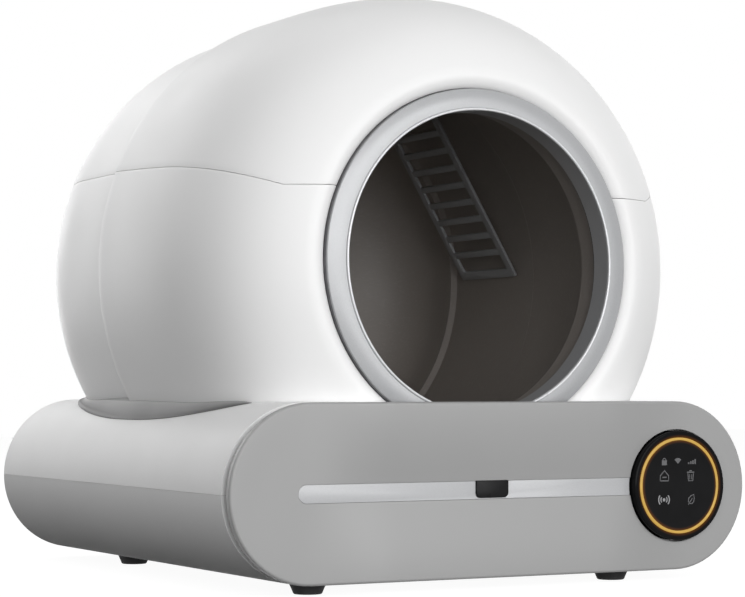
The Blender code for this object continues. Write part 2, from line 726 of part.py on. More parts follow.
def finish_body(body):
    """Opening for the globe, ledge under it, way for the drum and hole for the latch rod."""
    opening = globe_cutter("globe_opening", CASING_SEAT_FIT)
    above = box(
        "above_ledge",
        (-BASE_WIDTH, 0, LEDGE_Z),
        (BASE_WIDTH, BASE_DEPTH + OVERRUN, AXIS_Z + GLOBE_RADIUS),
    )
    add_boolean(opening, above, "INTERSECT")
    add_boolean(body, opening)
    half_width = math.sqrt(
        (BASE_HEIGHT / 2 - BASE_WALL / 2) ** 2 - (LEDGE_Z - BASE_MIDDLE_Z) ** 2
    )
    half_width += (BASE_WIDTH - BASE_HEIGHT) / 2
    ledge = box(
        "ledge",
        (-half_width, BODY_FRONT_AT + BASE_WALL / 2, LEDGE_Z - LEDGE_THICKNESS),
        (half_width, BASE_DEPTH - BASE_WALL / 2, LEDGE_Z),
    )
    add_boolean(body, ledge, "UNION")
    under_ledge = AXIS_Z - LEDGE_Z
    half_way = math.sqrt(GEAR_TIP_RADIUS**2 - under_ledge**2) + RUNNING
    way = box(
        "drum_way",
        (-half_way, DRUM_MOUTH_AT - RUNNING, LEDGE_Z - LEDGE_THICKNESS - OVERRUN),
        (half_way, DRUM_REAR_AT + FIT, LEDGE_Z + OVERRUN),
    )
    add_boolean(body, way)
    rod_hole = slab(
        "rod_hole",
        [circle(TAB_ROD_RADIUS + ROD_HOLE_GAP, ROD_SIDES)],
        BODY_FRONT_AT - FIT,
        BODY_INNER_FRONT_AT + FIT,
        middle=(TAB_MIDDLE_X, ROD_Z),
    )
    add_boolean(body, rod_hole)


def make_feet():
    """Four tapered rubber feet."""
    for depth_name, distance in (("front", FOOT_FRONT_AT), ("rear", FOOT_REAR_AT)):
        for side_name, x in (("left", FOOT_LEFT_X), ("right", FOOT_RIGHT_X)):
            name = f"foot_{depth_name}_{side_name}"
            mesh = bpy.data.meshes.new(name)
            shape = bmesh.new()
            height = FOOT_HEIGHT - FIT
            bmesh.ops.create_cone(
                shape,
                cap_ends=True,
                segments=DISC_SIDES,
                radius1=FOOT_SOLE_RADIUS,
                radius2=FOOT_TOP_RADIUS,
                depth=height,
            )
            shape.to_mesh(mesh)
            shape.free()
            foot = add_object(name, mesh, "black_rubber")
            foot.location = (x, at_y(distance), height / 2)


def casing_profiles():
    """Closed profiles of the casing's front and rear mouldings."""
    inner_neck = CASING_NECK_RADIUS + CASING_WALL
    inner_share = inner_neck / (GLOBE_RADIUS - CASING_WALL)
    inner = list(reversed(globe_front(inner_share, CASING_WALL)))
    rear_inner = GLOBE_REAR_RADIUS - CASING_WALL
    front = globe_front(CASING_NECK_RADIUS / GLOBE_RADIUS)
    front += [
        (GLOBE_RADIUS, GLOBE_CREASE_AT),
        (rear_inner, GLOBE_CREASE_AT),
        (rear_inner, GLOBE_CREASE_AT - CASING_WALL),
        (GLOBE_RADIUS - CASING_WALL, GLOBE_CREASE_AT - CASING_WALL),
    ]
    front += inner
    front += [(inner_neck, CASING_NECK_REAR_AT), (CASING_NECK_RADIUS, CASING_NECK_REAR_AT)]
    rear = list(reversed(globe_rear(CASING_WALL)))
    rear += [
        (rear_inner, GLOBE_CREASE_AT + FIT),
        (GLOBE_REAR_RADIUS, GLOBE_CREASE_AT + FIT),
    ]
    rear += globe_rear()
    return front, rear


def cover_wedge(name, lift):
    """The space above the two side seams and the level rear edge, as a prism along Y."""
    reach = 2 * GLOBE_RADIUS
    seam_x = reach * math.sin(COVER_HALF_ANGLE)
    seam_z = reach * math.cos(COVER_HALF_ANGLE)
    edge_x = COVER_LEVEL_EDGE_UP * math.tan(COVER_HALF_ANGLE)
    right = [(edge_x, COVER_LEVEL_EDGE_UP), (seam_x, seam_z), (reach, reach)]
    outline = right + [(-x, z) for x, z in reversed(right)]
    return slab(name, [outline], -OVERRUN, BASE_DEPTH + OVERRUN, middle=(0, AXIS_Z + lift))


def make_casing():
    """Two fixed lower mouldings and the two that make the lift-off cover."""
    half_seam = COVER_SEAM / 2 / math.sin(COVER_HALF_ANGLE)
    above = cover_wedge("space_above_seam", half_seam)
    below = cover_wedge("space_over_lower_casing", -half_seam)
    under = box(
        "space_under_casing",
        (-BASE_WIDTH, -OVERRUN, 0),
        (BASE_WIDTH, BASE_DEPTH + OVERRUN, CASING_FOOT_Z),
    )
    covers = []
    for where, profile, closed in zip(("front", "rear"), casing_profiles(), (True, False)):
        lower = turned(f"casing_{where}_lower", profile, GLOBE_SIDES, "white_plastic", closed)
        add_boolean(lower, below)
        add_boolean(lower, under)
        cover = turned(f"cover_{where}", profile, GLOBE_SIDES, "white_plastic", closed)
        add_boolean(cover, above, "INTERSECT")
        covers.append(cover)
    hang_on(add_pivot("cover_lift_pivot", (0, at_y(GLOBE_WAIST_AT), AXIS_Z)), *covers)


def seat_distance(heading, raised):
    """How far from the seat's middle the globe passes through the deck raised by a height."""
    low, high = 0, BASE_DEPTH
    for _ in range(SEARCH_STEPS):
        middle = (low + high) / 2
        x = middle * math.sin(heading)
        radius = globe_radius_at(SEAT_MIDDLE_AT - middle * math.cos(heading))
        if math.hypot(x, deck_z(x) + raised - AXIS_Z) < radius:
            low = middle
        else:
            high = middle
    return low


def seat_fade(heading):
    """Share of the seat's full size: it grows from its front ends and shrinks at the rear."""
    if math.cos(heading) < 0:
        return max(abs(math.sin(heading)), SEAT_REAR_SHARE)
    turn = math.asin(abs(math.sin(heading)))
    along = (turn - SEAT_FRONT_ANGLE) / (math.pi / 2 - SEAT_FRONT_ANGLE)
    return max(math.sqrt(max(math.sin(along * math.pi / 2), 0)), SEAT_FRONT_SHARE)


def seat_section(heading):
    """One cross-section of the seat: foot, toe, hollow flank and crest."""
    fade = seat_fade(heading)
    reach = SEAT_REACH * fade
    height = SEAT_HEIGHT * fade
    foot = seat_distance(heading, 0) + CASING_SEAT_FIT
    crest = seat_distance(heading, height) + CASING_SEAT_FIT
    toe = foot + reach
    flank = crest + (toe - crest) * SEAT_FLANK_OUT_SHARE
    offsets = [
        (foot - SEAT_SINK, -SEAT_SINK),
        (toe, -SEAT_SINK),
        (toe, SEAT_LIP),
        (flank, height * SEAT_FLANK_UP_SHARE),
        (crest + SEAT_CREST, height),
        (crest - SEAT_SINK, height),
    ]
    points = []
    for out, up in offsets:
        x = out * math.sin(heading)
        y = at_y(SEAT_MIDDLE_AT - out * math.cos(heading))
        points.append((x, y, deck_z(x) + up))
    return points


def make_seat():
    """Flared grey seat that follows the line where the globe enters the base."""
    mesh = bpy.data.meshes.new("globe_seat_collar")
    shape = bmesh.new()
    span = 2 * math.pi - 2 * SEAT_FRONT_ANGLE
    rings = []
    for i in range(SEAT_SIDES + 1):
        section = seat_section(SEAT_FRONT_ANGLE + span * i / SEAT_SIDES)
        rings.append([shape.verts.new(point) for point in section])
    for ring, following in zip(rings, rings[1:]):
        for j in range(len(ring)):
            k = (j + 1) % len(ring)
            shape.faces.new((ring[j], ring[k], following[k], following[j]))
    shape.faces.new(rings[0])
    shape.faces.new(rings[-1])
    bmesh.ops.recalc_face_normals(shape, faces=shape.faces)
    shape.to_mesh(mesh)
    shape.free()
    seat = add_object("globe_seat_collar", mesh, "dark_seat")
    deck = slab(
        "space_of_base",
        [pill_outline(-FIT)],
        -OVERRUN,
        BASE_DEPTH + OVERRUN,
        middle=(0, BASE_MIDDLE_Z),
    )
    add_boolean(seat, deck)
    add_boolean(seat, globe_cutter("space_of_globe", CASING_SEAT_FIT))


def make_entrance():
    """Silver ring round the entrance and the soft seal between it and the drum."""
    sleeve = RING_INNER_RADIUS + RING_WALL
    flange_at = CASING_NECK_REAR_AT + FIT
    flange_rear_at = flange_at + RING_FLANGE_THICKNESS
    face_wall_at = RING_EDGE_AT + RING_WALL
    profile = [
        (RING_INNER_RADIUS + RING_LIP_ROUND, RING_LIP_AT),
        (RING_INNER_RADIUS + RING_WALL, RING_LIP_AT + RING_LIP_ROUND / 2),
        (RING_OUTER_RADIUS, RING_EDGE_AT),
        (RING_OUTER_RADIUS, flange_at),
        (RING_FLANGE_RADIUS, flange_at),
        (RING_FLANGE_RADIUS, flange_rear_at),
        (RING_OUTER_RADIUS - RING_WALL, flange_rear_at),
        (RING_OUTER_RADIUS - RING_WALL, face_wall_at),
        (sleeve, face_wall_at - RING_WALL / 2),
        (sleeve, RING_REAR_AT),
        (RING_INNER_RADIUS, RING_REAR_AT),
        (RING_INNER_RADIUS, RING_LIP_AT + RING_LIP_ROUND),
    ]
    turned("entrance_ring", profile, RING_SIDES, "silver_plastic")
    seal_inner = sleeve + FIT
    seal_rear_at = DRUM_MOUTH_AT - FIT
    seal_front_at = seal_rear_at - SEAL_LENGTH
    seal = [
        (DRUM_MOUTH_RADIUS, seal_front_at),
        (DRUM_MOUTH_RADIUS, seal_rear_at),
        (seal_inner, seal_rear_at),
        (seal_inner, seal_front_at),
    ]
    turned("entrance_seal", seal, RING_SIDES, "soft_seal")


def drum_front_curve(inset):
    """Profile of the front bowl from its neck to the full radius."""
    points = bulge(
        DRUM_RADIUS - inset,
        DRUM_FRONT_REACH - inset,
        DRUM_POWER,
        (DRUM_MOUTH_RADIUS - inset) / (DRUM_RADIUS - inset),
        DRUM_STEPS,
    )
    return [(radius, DRUM_WAIST_AT - left) for radius, left in points]


def drum_rear_curve(inset):
    """Profile of the rear bowl from behind the gear to the pole."""
    points = bulge(
        GEAR_SEAT_RADIUS - inset, DRUM_REAR_REACH - inset, DRUM_POWER, 0, DRUM_STEPS
    )
    return [(radius, DRUM_SHOULDER_AT + left) for radius, left in reversed(points)]


def make_drum():
    """Front and rear bowls, toothed ring, sieve and position magnet."""
    front = [(DRUM_MOUTH_RADIUS, DRUM_MOUTH_AT)] + drum_front_curve(0)
    front += [
        (DRUM_RADIUS, DRUM_JOINT_AT),
        (DRUM_RADIUS - DRUM_WALL, DRUM_JOINT_AT),
    ]
    front += reversed(drum_front_curve(DRUM_WALL))
    front.append((DRUM_MOUTH_RADIUS - DRUM_WALL, DRUM_MOUTH_AT))
    front_bowl = turned("drum_front_bowl", front, DRUM_SIDES, "drum_plastic")
    rear = list(reversed(drum_rear_curve(DRUM_WALL)))
    rear += [
        (GEAR_SEAT_RADIUS - DRUM_WALL, DRUM_STEP_AT + DRUM_STEP - DRUM_WALL / 2),
        (DRUM_RADIUS - DRUM_WALL, DRUM_STEP_AT - DRUM_WALL / 2),
        (DRUM_RADIUS - DRUM_WALL, DRUM_JOINT_AT + FIT),
        (DRUM_RADIUS, DRUM_JOINT_AT + FIT),
        (DRUM_RADIUS, DRUM_STEP_AT),
        (GEAR_SEAT_RADIUS, DRUM_STEP_AT + DRUM_STEP),
    ]
    rear += drum_rear_curve(0)
    rear_bowl = turned("drum_rear_bowl", rear, DRUM_SIDES, "drum_plastic", closed=False)
    port = box(
        "waste_port",
        (-PORT_WIDTH / 2, PORT_FRONT_AT, AXIS_Z + DRUM_RADIUS / 2),
        (PORT_WIDTH / 2, PORT_FRONT_AT + PORT_LENGTH, AXIS_Z + DRUM_RADIUS + OVERRUN),
    )
    add_boolean(rear_bowl, port)
    pivot = add_pivot("drum_spin_pivot", (0, at_y(DRUM_JOINT_AT), AXIS_Z))
    hang_on(pivot, front_bowl, rear_bowl, make_ring_gear(), make_sieve(), make_magnet())


def gear_outline(teeth, pitch_radius, first_angle):
    """Outline of a spur gear with trapezoid teeth, one of them centred on an angle."""
    tip = pitch_radius + TOOTH_TIP_SHARE * GEAR_MODULE
    root = pitch_radius - TOOTH_ROOT_SHARE * GEAR_MODULE
    pitch = 2 * math.pi / teeth
    points = []
    for i in range(teeth):
        middle = first_angle + i * pitch
        for radius, share in (
            (root, -TOOTH_BASE_WIDTH_SHARE),
            (tip, -TOOTH_TIP_WIDTH_SHARE),
            (tip, TOOTH_TIP_WIDTH_SHARE),
            (root, TOOTH_BASE_WIDTH_SHARE),
        ):
            angle = middle + share * pitch / 2
            points.append((radius * math.cos(angle), radius * math.sin(angle)))
    return points


def make_ring_gear():
    """Toothed ring on the seat behind the rear bowl's step."""
    towards_pinion = PINION_ANGLE - math.pi / 2
    outlines = [
        gear_outline(GEAR_TEETH, GEAR_PITCH_RADIUS, towards_pinion),
        circle(GEAR_SEAT_RADIUS + FIT, DRUM_SIDES),
    ]
    return slab(
        "drum_ring_gear", outlines, GEAR_AT, GEAR_AT + GEAR_WIDTH, "gear_plastic", (0, AXIS_Z)
    )


def make_sieve():
    """Slotted plate across a chord of the drum."""
    half_angle = (SIEVE_END_ANGLE - SIEVE_START_ANGLE) / 2
    middle_angle = (SIEVE_END_ANGLE + SIEVE_START_ANGLE) / 2
    inner = (DRUM_RADIUS - DRUM_WALL) * math.cos(math.pi / DRUM_SIDES) - FIT
    half_chord = math.sqrt(inner**2 - (inner * math.cos(half_angle)) ** 2)
    out = inner * math.cos(half_angle) - SIEVE_THICKNESS / 2
    across, along = half_chord, PORT_LENGTH / 2
    outlines = [rectangle(-across, -along, across, along)]
    pitch = 2 * (across - SIEVE_MARGIN) / SIEVE_SLOTS
    for i in range(SIEVE_SLOTS):
        middle = -across + SIEVE_MARGIN + (i + 0.5) * pitch
        half = pitch * (1 - SIEVE_BAR_SHARE) / 2
        reach = along - SIEVE_MARGIN
        outlines.append(rectangle(middle - half, -reach, middle + half, reach))
    location = (
        out * math.sin(middle_angle),
        at_y(PORT_FRONT_AT + PORT_LENGTH / 2),
        AXIS_Z + out * math.cos(middle_angle),
    )
    turn = (0, middle_angle, 0)
    return plate("sieve_grid", outlines, SIEVE_THICKNESS, "inner_plastic", location, turn)


def make_magnet():
    """Small magnet on the drum's outside, which the sensor on the ledge finds."""
    out = DRUM_RADIUS + FIT + MAGNET_THICKNESS / 2
    square = rectangle(-MAGNET_SIZE / 2, -MAGNET_SIZE / 2, MAGNET_SIZE / 2, MAGNET_SIZE / 2)
    angle = math.pi + MAGNET_ANGLE
    location = (
        out * math.sin(angle),
        at_y(MAGNET_AT),
        AXIS_Z + out * math.cos(angle),
    )
    return plate(
        "home_magnet", [square], MAGNET_THICKNESS, "steel", location, (0, angle, 0)
    )


def make_sensor():
    """Position sensor that stands on the ledge, beside the magnet's path."""
    clear = DRUM_RADIUS + 2 * FIT + MAGNET_THICKNESS + SENSOR_GAP
    reach = AXIS_Z - LEDGE_Z
    near = math.sqrt(clear**2 - (reach - SENSOR_HEIGHT) ** 2)
    box(
        "home_sensor",
        (-near - SENSOR_WIDTH, MAGNET_AT - SENSOR_LENGTH / 2, LEDGE_Z + FIT),
        (-near, MAGNET_AT + SENSOR_LENGTH / 2, LEDGE_Z + SENSOR_HEIGHT),
        "circuit_board",
    )


def make_drive():
    """Pinion and shaft, gear motor and the plate that carries them."""
    middle = (PINION_X, PINION_Z)
    towards_gear = math.pi / 2 + PINION_ANGLE
    first_tooth = towards_gear + math.pi / PINION_TEETH
    pinion = slab(
        "motor_pinion",
        [
            gear_outline(PINION_TEETH, PINION_PITCH_RADIUS, first_tooth),
            circle(SHAFT_RADIUS + FIT, ROD_SIDES),
        ],
        GEAR_AT,
        GEAR_AT + GEAR_WIDTH,
        "gear_plastic",
        middle,
    )
    shaft = slab(
        "motor_shaft",
        [circle(SHAFT_RADIUS, ROD_SIDES)],
        GEAR_AT,
        GEARBOX_AT + GEARBOX_SOCKET - FIT,
        "steel",
        middle,
    )
    hang_on(add_pivot("pinion_spin_pivot", (PINION_X, at_y(GEAR_AT), PINION_Z)), pinion, shaft)
    gearbox = slab(
        "motor_gearbox",
        [circle(GEARBOX_RADIUS, DISC_SIDES)],
        GEARBOX_AT,
        GEARBOX_AT + GEARBOX_LENGTH,
        "inner_plastic",
        middle,
    )
    socket = slab(
        "gearbox_socket",
        [circle(SHAFT_RADIUS + FIT, ROD_SIDES)],
        GEARBOX_AT - OVERRUN,
        GEARBOX_AT + GEARBOX_SOCKET,
        middle=middle,
    )
    add_boolean(gearbox, socket)
    slab(
        "drive_motor",
        [circle(MOTOR_RADIUS, DISC_SIDES)],
        MOTOR_AT,
        MOTOR_AT + MOTOR_LENGTH,
        "steel",
        middle,
    )
    low_z = FLOOR_Z + FIT - PINION_Z
    shield = arc(GEARBOX_RADIUS, 0, math.pi, DISC_SIDES // 2)
    slab(
        "motor_bracket",
        [
            shield + [(-GEARBOX_RADIUS, low_z), (GEARBOX_RADIUS, low_z)],
            circle(MOTOR_PLATE_BOSS_RADIUS, ROD_SIDES),
        ],
        MOTOR_PLATE_AT,
        MOTOR_PLATE_AT + MOTOR_PLATE_THICKNESS,
        "steel",
        middle,
    )


def make_roller(name, side, distance):
    """A roller, its axle and its bracket. Side is -1 on the left and 1 on the right."""
    middle = (side * ROLLER_X, ROLLER_Z)
    half = ROLLER_WIDTH / 2
    roller = slab(
        f"roller_{name}",
        [circle(ROLLER_RADIUS, DISC_SIDES), circle(AXLE_RADIUS + FIT, ROD_SIDES)],
        distance - half,
        distance + half,
        "black_rubber",
        middle,
    )
    pivot = add_pivot(f"roller_{name}_pivot", (middle[0], at_y(distance), middle[1]))
    hang_on(pivot, roller)
    inner = half + BRACKET_SIDE_GAP
    outer = inner + BRACKET_WALL
    slab(
        f"axle_{name}",
        [circle(AXLE_RADIUS, ROD_SIDES)],
        distance - outer,
        distance + outer,
        "steel",
        middle,
    )
    low_z = LEDGE_Z + FIT
    top_z = ROLLER_Z + BRACKET_HEAD
    floor_z = low_z + BRACKET_FLOOR
    # The profile lies in the plane of Y and Z, and the plate's thickness along X.
    outline = [
        (-outer, low_z),
        (outer, low_z),
        (outer, top_z),
        (inner, top_z),
        (inner, floor_z),
        (-inner, floor_z),
        (-inner, top_z),
        (-outer, top_z),
    ]
    bracket = plate(
        f"bracket_{name}",
        [outline],
        2 * BRACKET_HALF_WIDTH,
        "inner_plastic",
        (middle[0], at_y(distance), 0),
        (math.pi / 2, 0, math.pi / 2),
    )
    bore = slab(
        f"bracket_bore_{name}",
        [circle(AXLE_RADIUS + FIT, ROD_SIDES)],
        distance - outer - OVERRUN,
        distance + outer + OVERRUN,
        middle=middle,
    )
    add_boolean(bracket, bore)


def make_rollers():
    """Four support rollers under the drum."""
    for depth_name, distance in (("front", ROLLER_FRONT_AT), ("rear", ROLLER_REAR_AT)):
        for side_name, side in (("left", -1), ("right", 1)):
            make_roller(f"{depth_name}_{side_name}", side, distance)


def make_panel():
    """Front panel with its display hole, strip slot and tab opening."""
    panel = slab(
        "drawer_front",
        [pill_outline()],
        0,
        PANEL_THICKNESS,
        "grey_plastic",
        (0, BASE_MIDDLE_Z),
    )
    bevel_rim(panel, False, PANEL_ROUND)
    pocket = slab(
        "panel_pocket",
        [pill_outline(PANEL_RIM)],
        PANEL_FACE,
        PANEL_THICKNESS + OVERRUN,
        middle=(0, BASE_MIDDLE_Z),
    )
    display_hole = slab(
        "display_hole",
        [circle(DISPLAY_HOLE_RADIUS, DISPLAY_SIDES)],
        -OVERRUN,
        PANEL_THICKNESS + OVERRUN,
        middle=(DISPLAY_X, BASE_MIDDLE_Z),
    )
    slot = slab(
        "strip_slot",
        [strip_outline(FIT, DISPLAY_X)],
        -OVERRUN,
        STRIP_SLOT_DEPTH,
        middle=(0, BASE_MIDDLE_Z),
    )
    opening = box(
        "tab_opening",
        (
            TAB_MIDDLE_X - TAB_WIDTH / 2 - FIT,
            -OVERRUN,
            TAB_TOP_Z - TAB_HEIGHT - FIT,
        ),
        (TAB_MIDDLE_X + TAB_WIDTH / 2 + FIT, PANEL_FACE + OVERRUN, TAB_TOP_Z + FIT),
    )
    for tool in (pocket, display_hole, slot, opening):
        add_boolean(panel, tool)
    return panel


def strip_outline(grown, right_x):
    """Outline of the strip: a round left end and a straight right end."""
    radius = STRIP_HEIGHT / 2 + grown
    left = arc(
        radius, math.pi / 2, 3 * math.pi / 2, PILL_STEPS, (STRIP_LEFT_X + STRIP_HEIGHT / 2, 0)
    )
    return left + [(right_x, -radius), (right_x, radius)]


def make_strip():
    """Pale strip in the panel's slot, cut back for the tab and the display."""
    strip = slab(
        "trim_strip",
        [strip_outline(0, DISPLAY_X)],
        STRIP_RECESS,
        STRIP_RECESS + STRIP_THICKNESS,
        "pale_strip",
        (0, BASE_MIDDLE_Z),
    )
    end = slab(
        "strip_end",
        [circle(DISPLAY_HOLE_RADIUS + FIT, DISPLAY_SIDES)],
        -OVERRUN,
        PANEL_THICKNESS,
        middle=(DISPLAY_X, BASE_MIDDLE_Z),
    )
    notch = box(
        "strip_notch",
        (
            TAB_MIDDLE_X - TAB_WIDTH / 2 - FIT,
            -OVERRUN,
            TAB_TOP_Z - TAB_HEIGHT - FIT,
        ),
        (
            TAB_MIDDLE_X + TAB_WIDTH / 2 + FIT,
            PANEL_THICKNESS,
            STRIP_TOP_Z + OVERRUN,
        ),
    )
    add_boolean(strip, end)
    add_boolean(strip, notch)
    return strip


def make_tub():
    """Waste tub that reaches into the panel's pocket, and the frame that holds its bag."""
    length = TUB_REAR_AT - TUB_FRONT_AT
    middle_at = (TUB_REAR_AT + TUB_FRONT_AT) / 2
    tub = plate(
        "waste_tub",
        [rounded_rectangle(TUB_WIDTH, length, TUB_CORNER)],
        TUB_HEIGHT,
        "inner_plastic",
        (TUB_MIDDLE_X, at_y(middle_at), TUB_Z + TUB_HEIGHT / 2),
    )
    inner_height = TUB_HEIGHT - TUB_WALL + OVERRUN
    hollow = plate(
        "tub_hollow",
        [
            rounded_rectangle(
                TUB_WIDTH - 2 * TUB_WALL, length - 2 * TUB_WALL, TUB_CORNER - TUB_WALL
            )
        ],
        inner_height,
        location=(TUB_MIDDLE_X, at_y(middle_at), TUB_Z + TUB_WALL + inner_height / 2),
    )
    add_boolean(tub, hollow)
    frame_length = TUB_REAR_AT - BAG_FRAME_FRONT_AT
    frame_z = TUB_Z + TUB_HEIGHT + FIT
    inside = rounded_rectangle(
        TUB_WIDTH - 2 * BAG_FRAME_WIDTH,
        frame_length - 2 * BAG_FRAME_WIDTH,
        TUB_CORNER - TUB_WALL,
    )
    frame = plate(
        "bag_frame",
        [rounded_rectangle(TUB_WIDTH, frame_length, TUB_CORNER), inside],
        BAG_FRAME_HEIGHT,
        "grey_plastic",
        (
            TUB_MIDDLE_X,
            at_y((TUB_REAR_AT + BAG_FRAME_FRONT_AT) / 2),
            frame_z + BAG_FRAME_HEIGHT / 2,
        ),
    )
    return tub, frame


def make_rails():
    """L-shaped rails on the tray's floor, one along each side of the tub."""
    for name, side in (("left", -1), ("right", 1)):
        edge = TUB_WIDTH / 2 + FIT
        outline = [
            (edge + RAIL_SIDE_THICKNESS, 0),
            (edge + RAIL_SIDE_THICKNESS, RAIL_SIDE_HEIGHT),
            (edge, RAIL_SIDE_HEIGHT),
            (edge, RAIL_FOOT_HEIGHT),
            (edge - RAIL_FOOT_WIDTH, RAIL_FOOT_HEIGHT),
            (edge - RAIL_FOOT_WIDTH, 0),
        ]
        slab(
            f"drawer_rail_{name}",
            [[(side * x, z) for x, z in outline]],
            RAIL_FRONT_AT,
            TUB_REAR_AT,
            "steel",
            (TUB_MIDDLE_X, FLOOR_Z + FIT),
        )


def make_tab():
    """Release tab: a black face, a flange behind the panel and a rod to the catch."""
    half, foot = TAB_WIDTH / 2, -TAB_HEIGHT / 2
    corner = TAB_CORNER
    outline = [(half, -foot), (-half, -foot)]
    outline += arc(corner, math.pi, 1.5 * math.pi, CORNER_STEPS, (-half + corner, foot + corner))
    outline += arc(corner, -math.pi / 2, 0, CORNER_STEPS, (half - corner, foot + corner))
    middle = (TAB_MIDDLE_X, TAB_MIDDLE_Z)
    flange_rear = TAB_FLANGE_AT + TAB_FLANGE_THICKNESS
    tab = slab(
        "release_tab",
        [outline],
        -TAB_PROUD,
        flange_rear - TAB_FLANGE_THICKNESS / 2,
        "black_gloss",
        middle,
    )
    border = TAB_FLANGE_BORDER
    flange = slab(
        "tab_flange",
        [rectangle(-half - border, foot - border, half + border, -foot + border)],
        TAB_FLANGE_AT,
        flange_rear,
        middle=middle,
    )
    rod = slab(
        "tab_rod",
        [circle(TAB_ROD_RADIUS, ROD_SIDES)],
        flange_rear - TAB_FLANGE_THICKNESS / 2,
        TAB_ROD_REAR_AT,
        middle=(TAB_MIDDLE_X, ROD_Z),
    )
    add_boolean(tab, flange, "UNION")
    add_boolean(tab, rod, "UNION")
    pivot = add_pivot("tab_press_pivot", (TAB_MIDDLE_X, at_y(0), ROD_Z))
    hang_on(pivot, tab)
    return pivot


def make_spring():
    """Coil spring between the tab's flange and the carrier."""
    start = TAB_FLANGE_AT + TAB_FLANGE_THICKNESS + FIT + SPRING_WIRE_RADIUS
    end = CARRIER_AT - FIT - SPRING_WIRE_RADIUS
    count = round(SPRING_TURNS * SPRING_POINTS_A_TURN)
    curve = bpy.data.curves.new("release_spring", "CURVE")
    curve.dimensions = "3D"
    curve.bevel_depth = SPRING_WIRE_RADIUS
    curve.bevel_resolution = 1
    curve.use_fill_caps = True
    spline = curve.splines.new("POLY")
    spline.points.add(count)
    for i, point in enumerate(spline.points):
        angle = 2 * math.pi * SPRING_TURNS * i / count
        along = start + (end - start) * i / count
        x = SPRING_RADIUS * math.cos(angle)
        z = SPRING_RADIUS * math.sin(angle)
        point.co = (x, along, z, 1)
    location = (TAB_MIDDLE_X, at_y(0), ROD_Z)
    return mesh_from_curve("release_spring", curve, "steel", location, (0, 0, 0))


def make_carrier():
    """U-shaped carrier behind the panel's face, which guides the rod and backs the spring."""
    half = TAB_WIDTH / 2 + TAB_FLANGE_BORDER + CARRIER_BORDER
    outer = half + CARRIER_LEG
    front = PANEL_FACE + FIT
    rear = CARRIER_AT + CARRIER_THICKNESS
    outline = [
        (-outer, front),
        (-half, front),
        (-half, CARRIER_AT),
        (half, CARRIER_AT),
        (half, front),
        (outer, front),
        (outer, rear),
        (-outer, rear),
    ]
    carrier = plate(
        "release_bracket",
        [outline],
        CARRIER_HEIGHT,
        "inner_plastic",
        (TAB_MIDDLE_X, at_y(0), ROD_Z),
    )
    bore = slab(
        "carrier_bore",
        [circle(TAB_ROD_RADIUS + FIT, ROD_SIDES)],
        CARRIER_AT - RUNNING,
        CARRIER_AT + RUNNING,
        middle=(TAB_MIDDLE_X, ROD_Z),
    )
    add_boolean(carrier, bore)
    return carrier


def make_catch():
    """Push catch on the back of the bulkhead, with a socket for the rod."""
    front = BODY_INNER_FRONT_AT + FIT
    low_z = ROD_Z - CATCH_HEIGHT * CATCH_BELOW_ROD_SHARE
    catch = box(
        "push_catch",
        (TAB_MIDDLE_X - CATCH_WIDTH / 2, front, low_z),
        (TAB_MIDDLE_X + CATCH_WIDTH / 2, front + CATCH_DEPTH, low_z + CATCH_HEIGHT),
        "black_plastic",
    )
    socket = slab(
        "catch_socket",
        [circle(TAB_ROD_RADIUS + ROD_HOLE_GAP, ROD_SIDES)],
        front - OVERRUN,
        front + CATCH_SOCKET,
        middle=(TAB_MIDDLE_X, ROD_Z),
    )
    add_boolean(catch, socket)


def make_drawer():
    """Everything that slides out at the front."""
    tub, frame = make_tub()
    panel = make_panel()
    strip = make_strip()
    carrier = make_carrier()
    spring = make_spring()
    tab_pivot = make_tab()
    pivot = add_pivot("drawer_slide_pivot", (0, at_y(0), BASE_MIDDLE_Z))
    hang_on(pivot, tub, frame, panel, strip, carrier, spring, tab_pivot)


def make_display():
    """Round housing with its lens, light ring and board."""
    middle = (DISPLAY_X, BASE_MIDDLE_Z)
    face_at = -DISPLAY_PROUD
    inner = DISPLAY_RADIUS - DISPLAY_WALL
    rear_at = BODY_FRONT_AT - FIT
    profile = [
        (0, DISPLAY_SEAT_AT),
        (DISPLAY_RECESS_RADIUS, DISPLAY_SEAT_AT),
        (DISPLAY_RECESS_RADIUS, face_at),
        (DISPLAY_RADIUS - DISPLAY_EDGE, face_at),
        (DISPLAY_RADIUS, face_at + DISPLAY_EDGE),
        (DISPLAY_RADIUS, rear_at),
        (inner, rear_at),
        (inner, DISPLAY_SEAT_AT + DISPLAY_WALL),
        (0, DISPLAY_SEAT_AT + DISPLAY_WALL),
    ]
    turned("display_housing", profile, DISPLAY_SIDES, "black_gloss", False, middle)
    ring_inner = LIGHT_RING_RADIUS - LIGHT_RING_WIDTH / 2
    ring_outer = LIGHT_RING_RADIUS + LIGHT_RING_WIDTH / 2
    slab(
        "display_lens",
        [circle(ring_inner - FIT, DISPLAY_SIDES)],
        face_at,
        DISPLAY_SEAT_AT - FIT,
        "black_gloss",
        middle,
    )
    slab(
        "display_light_ring",
        [circle(ring_outer, DISPLAY_SIDES), circle(ring_inner, DISPLAY_SIDES)],
        face_at,
        DISPLAY_SEAT_AT - FIT,
        "amber_light",
        middle,
    )
    slab(
        "display_board",
        [circle(inner - RUNNING / 2, DISC_SIDES)],
        DISPLAY_BOARD_AT,
        DISPLAY_BOARD_AT + BOARD_THICKNESS,
        "circuit_board",
        middle,
    )


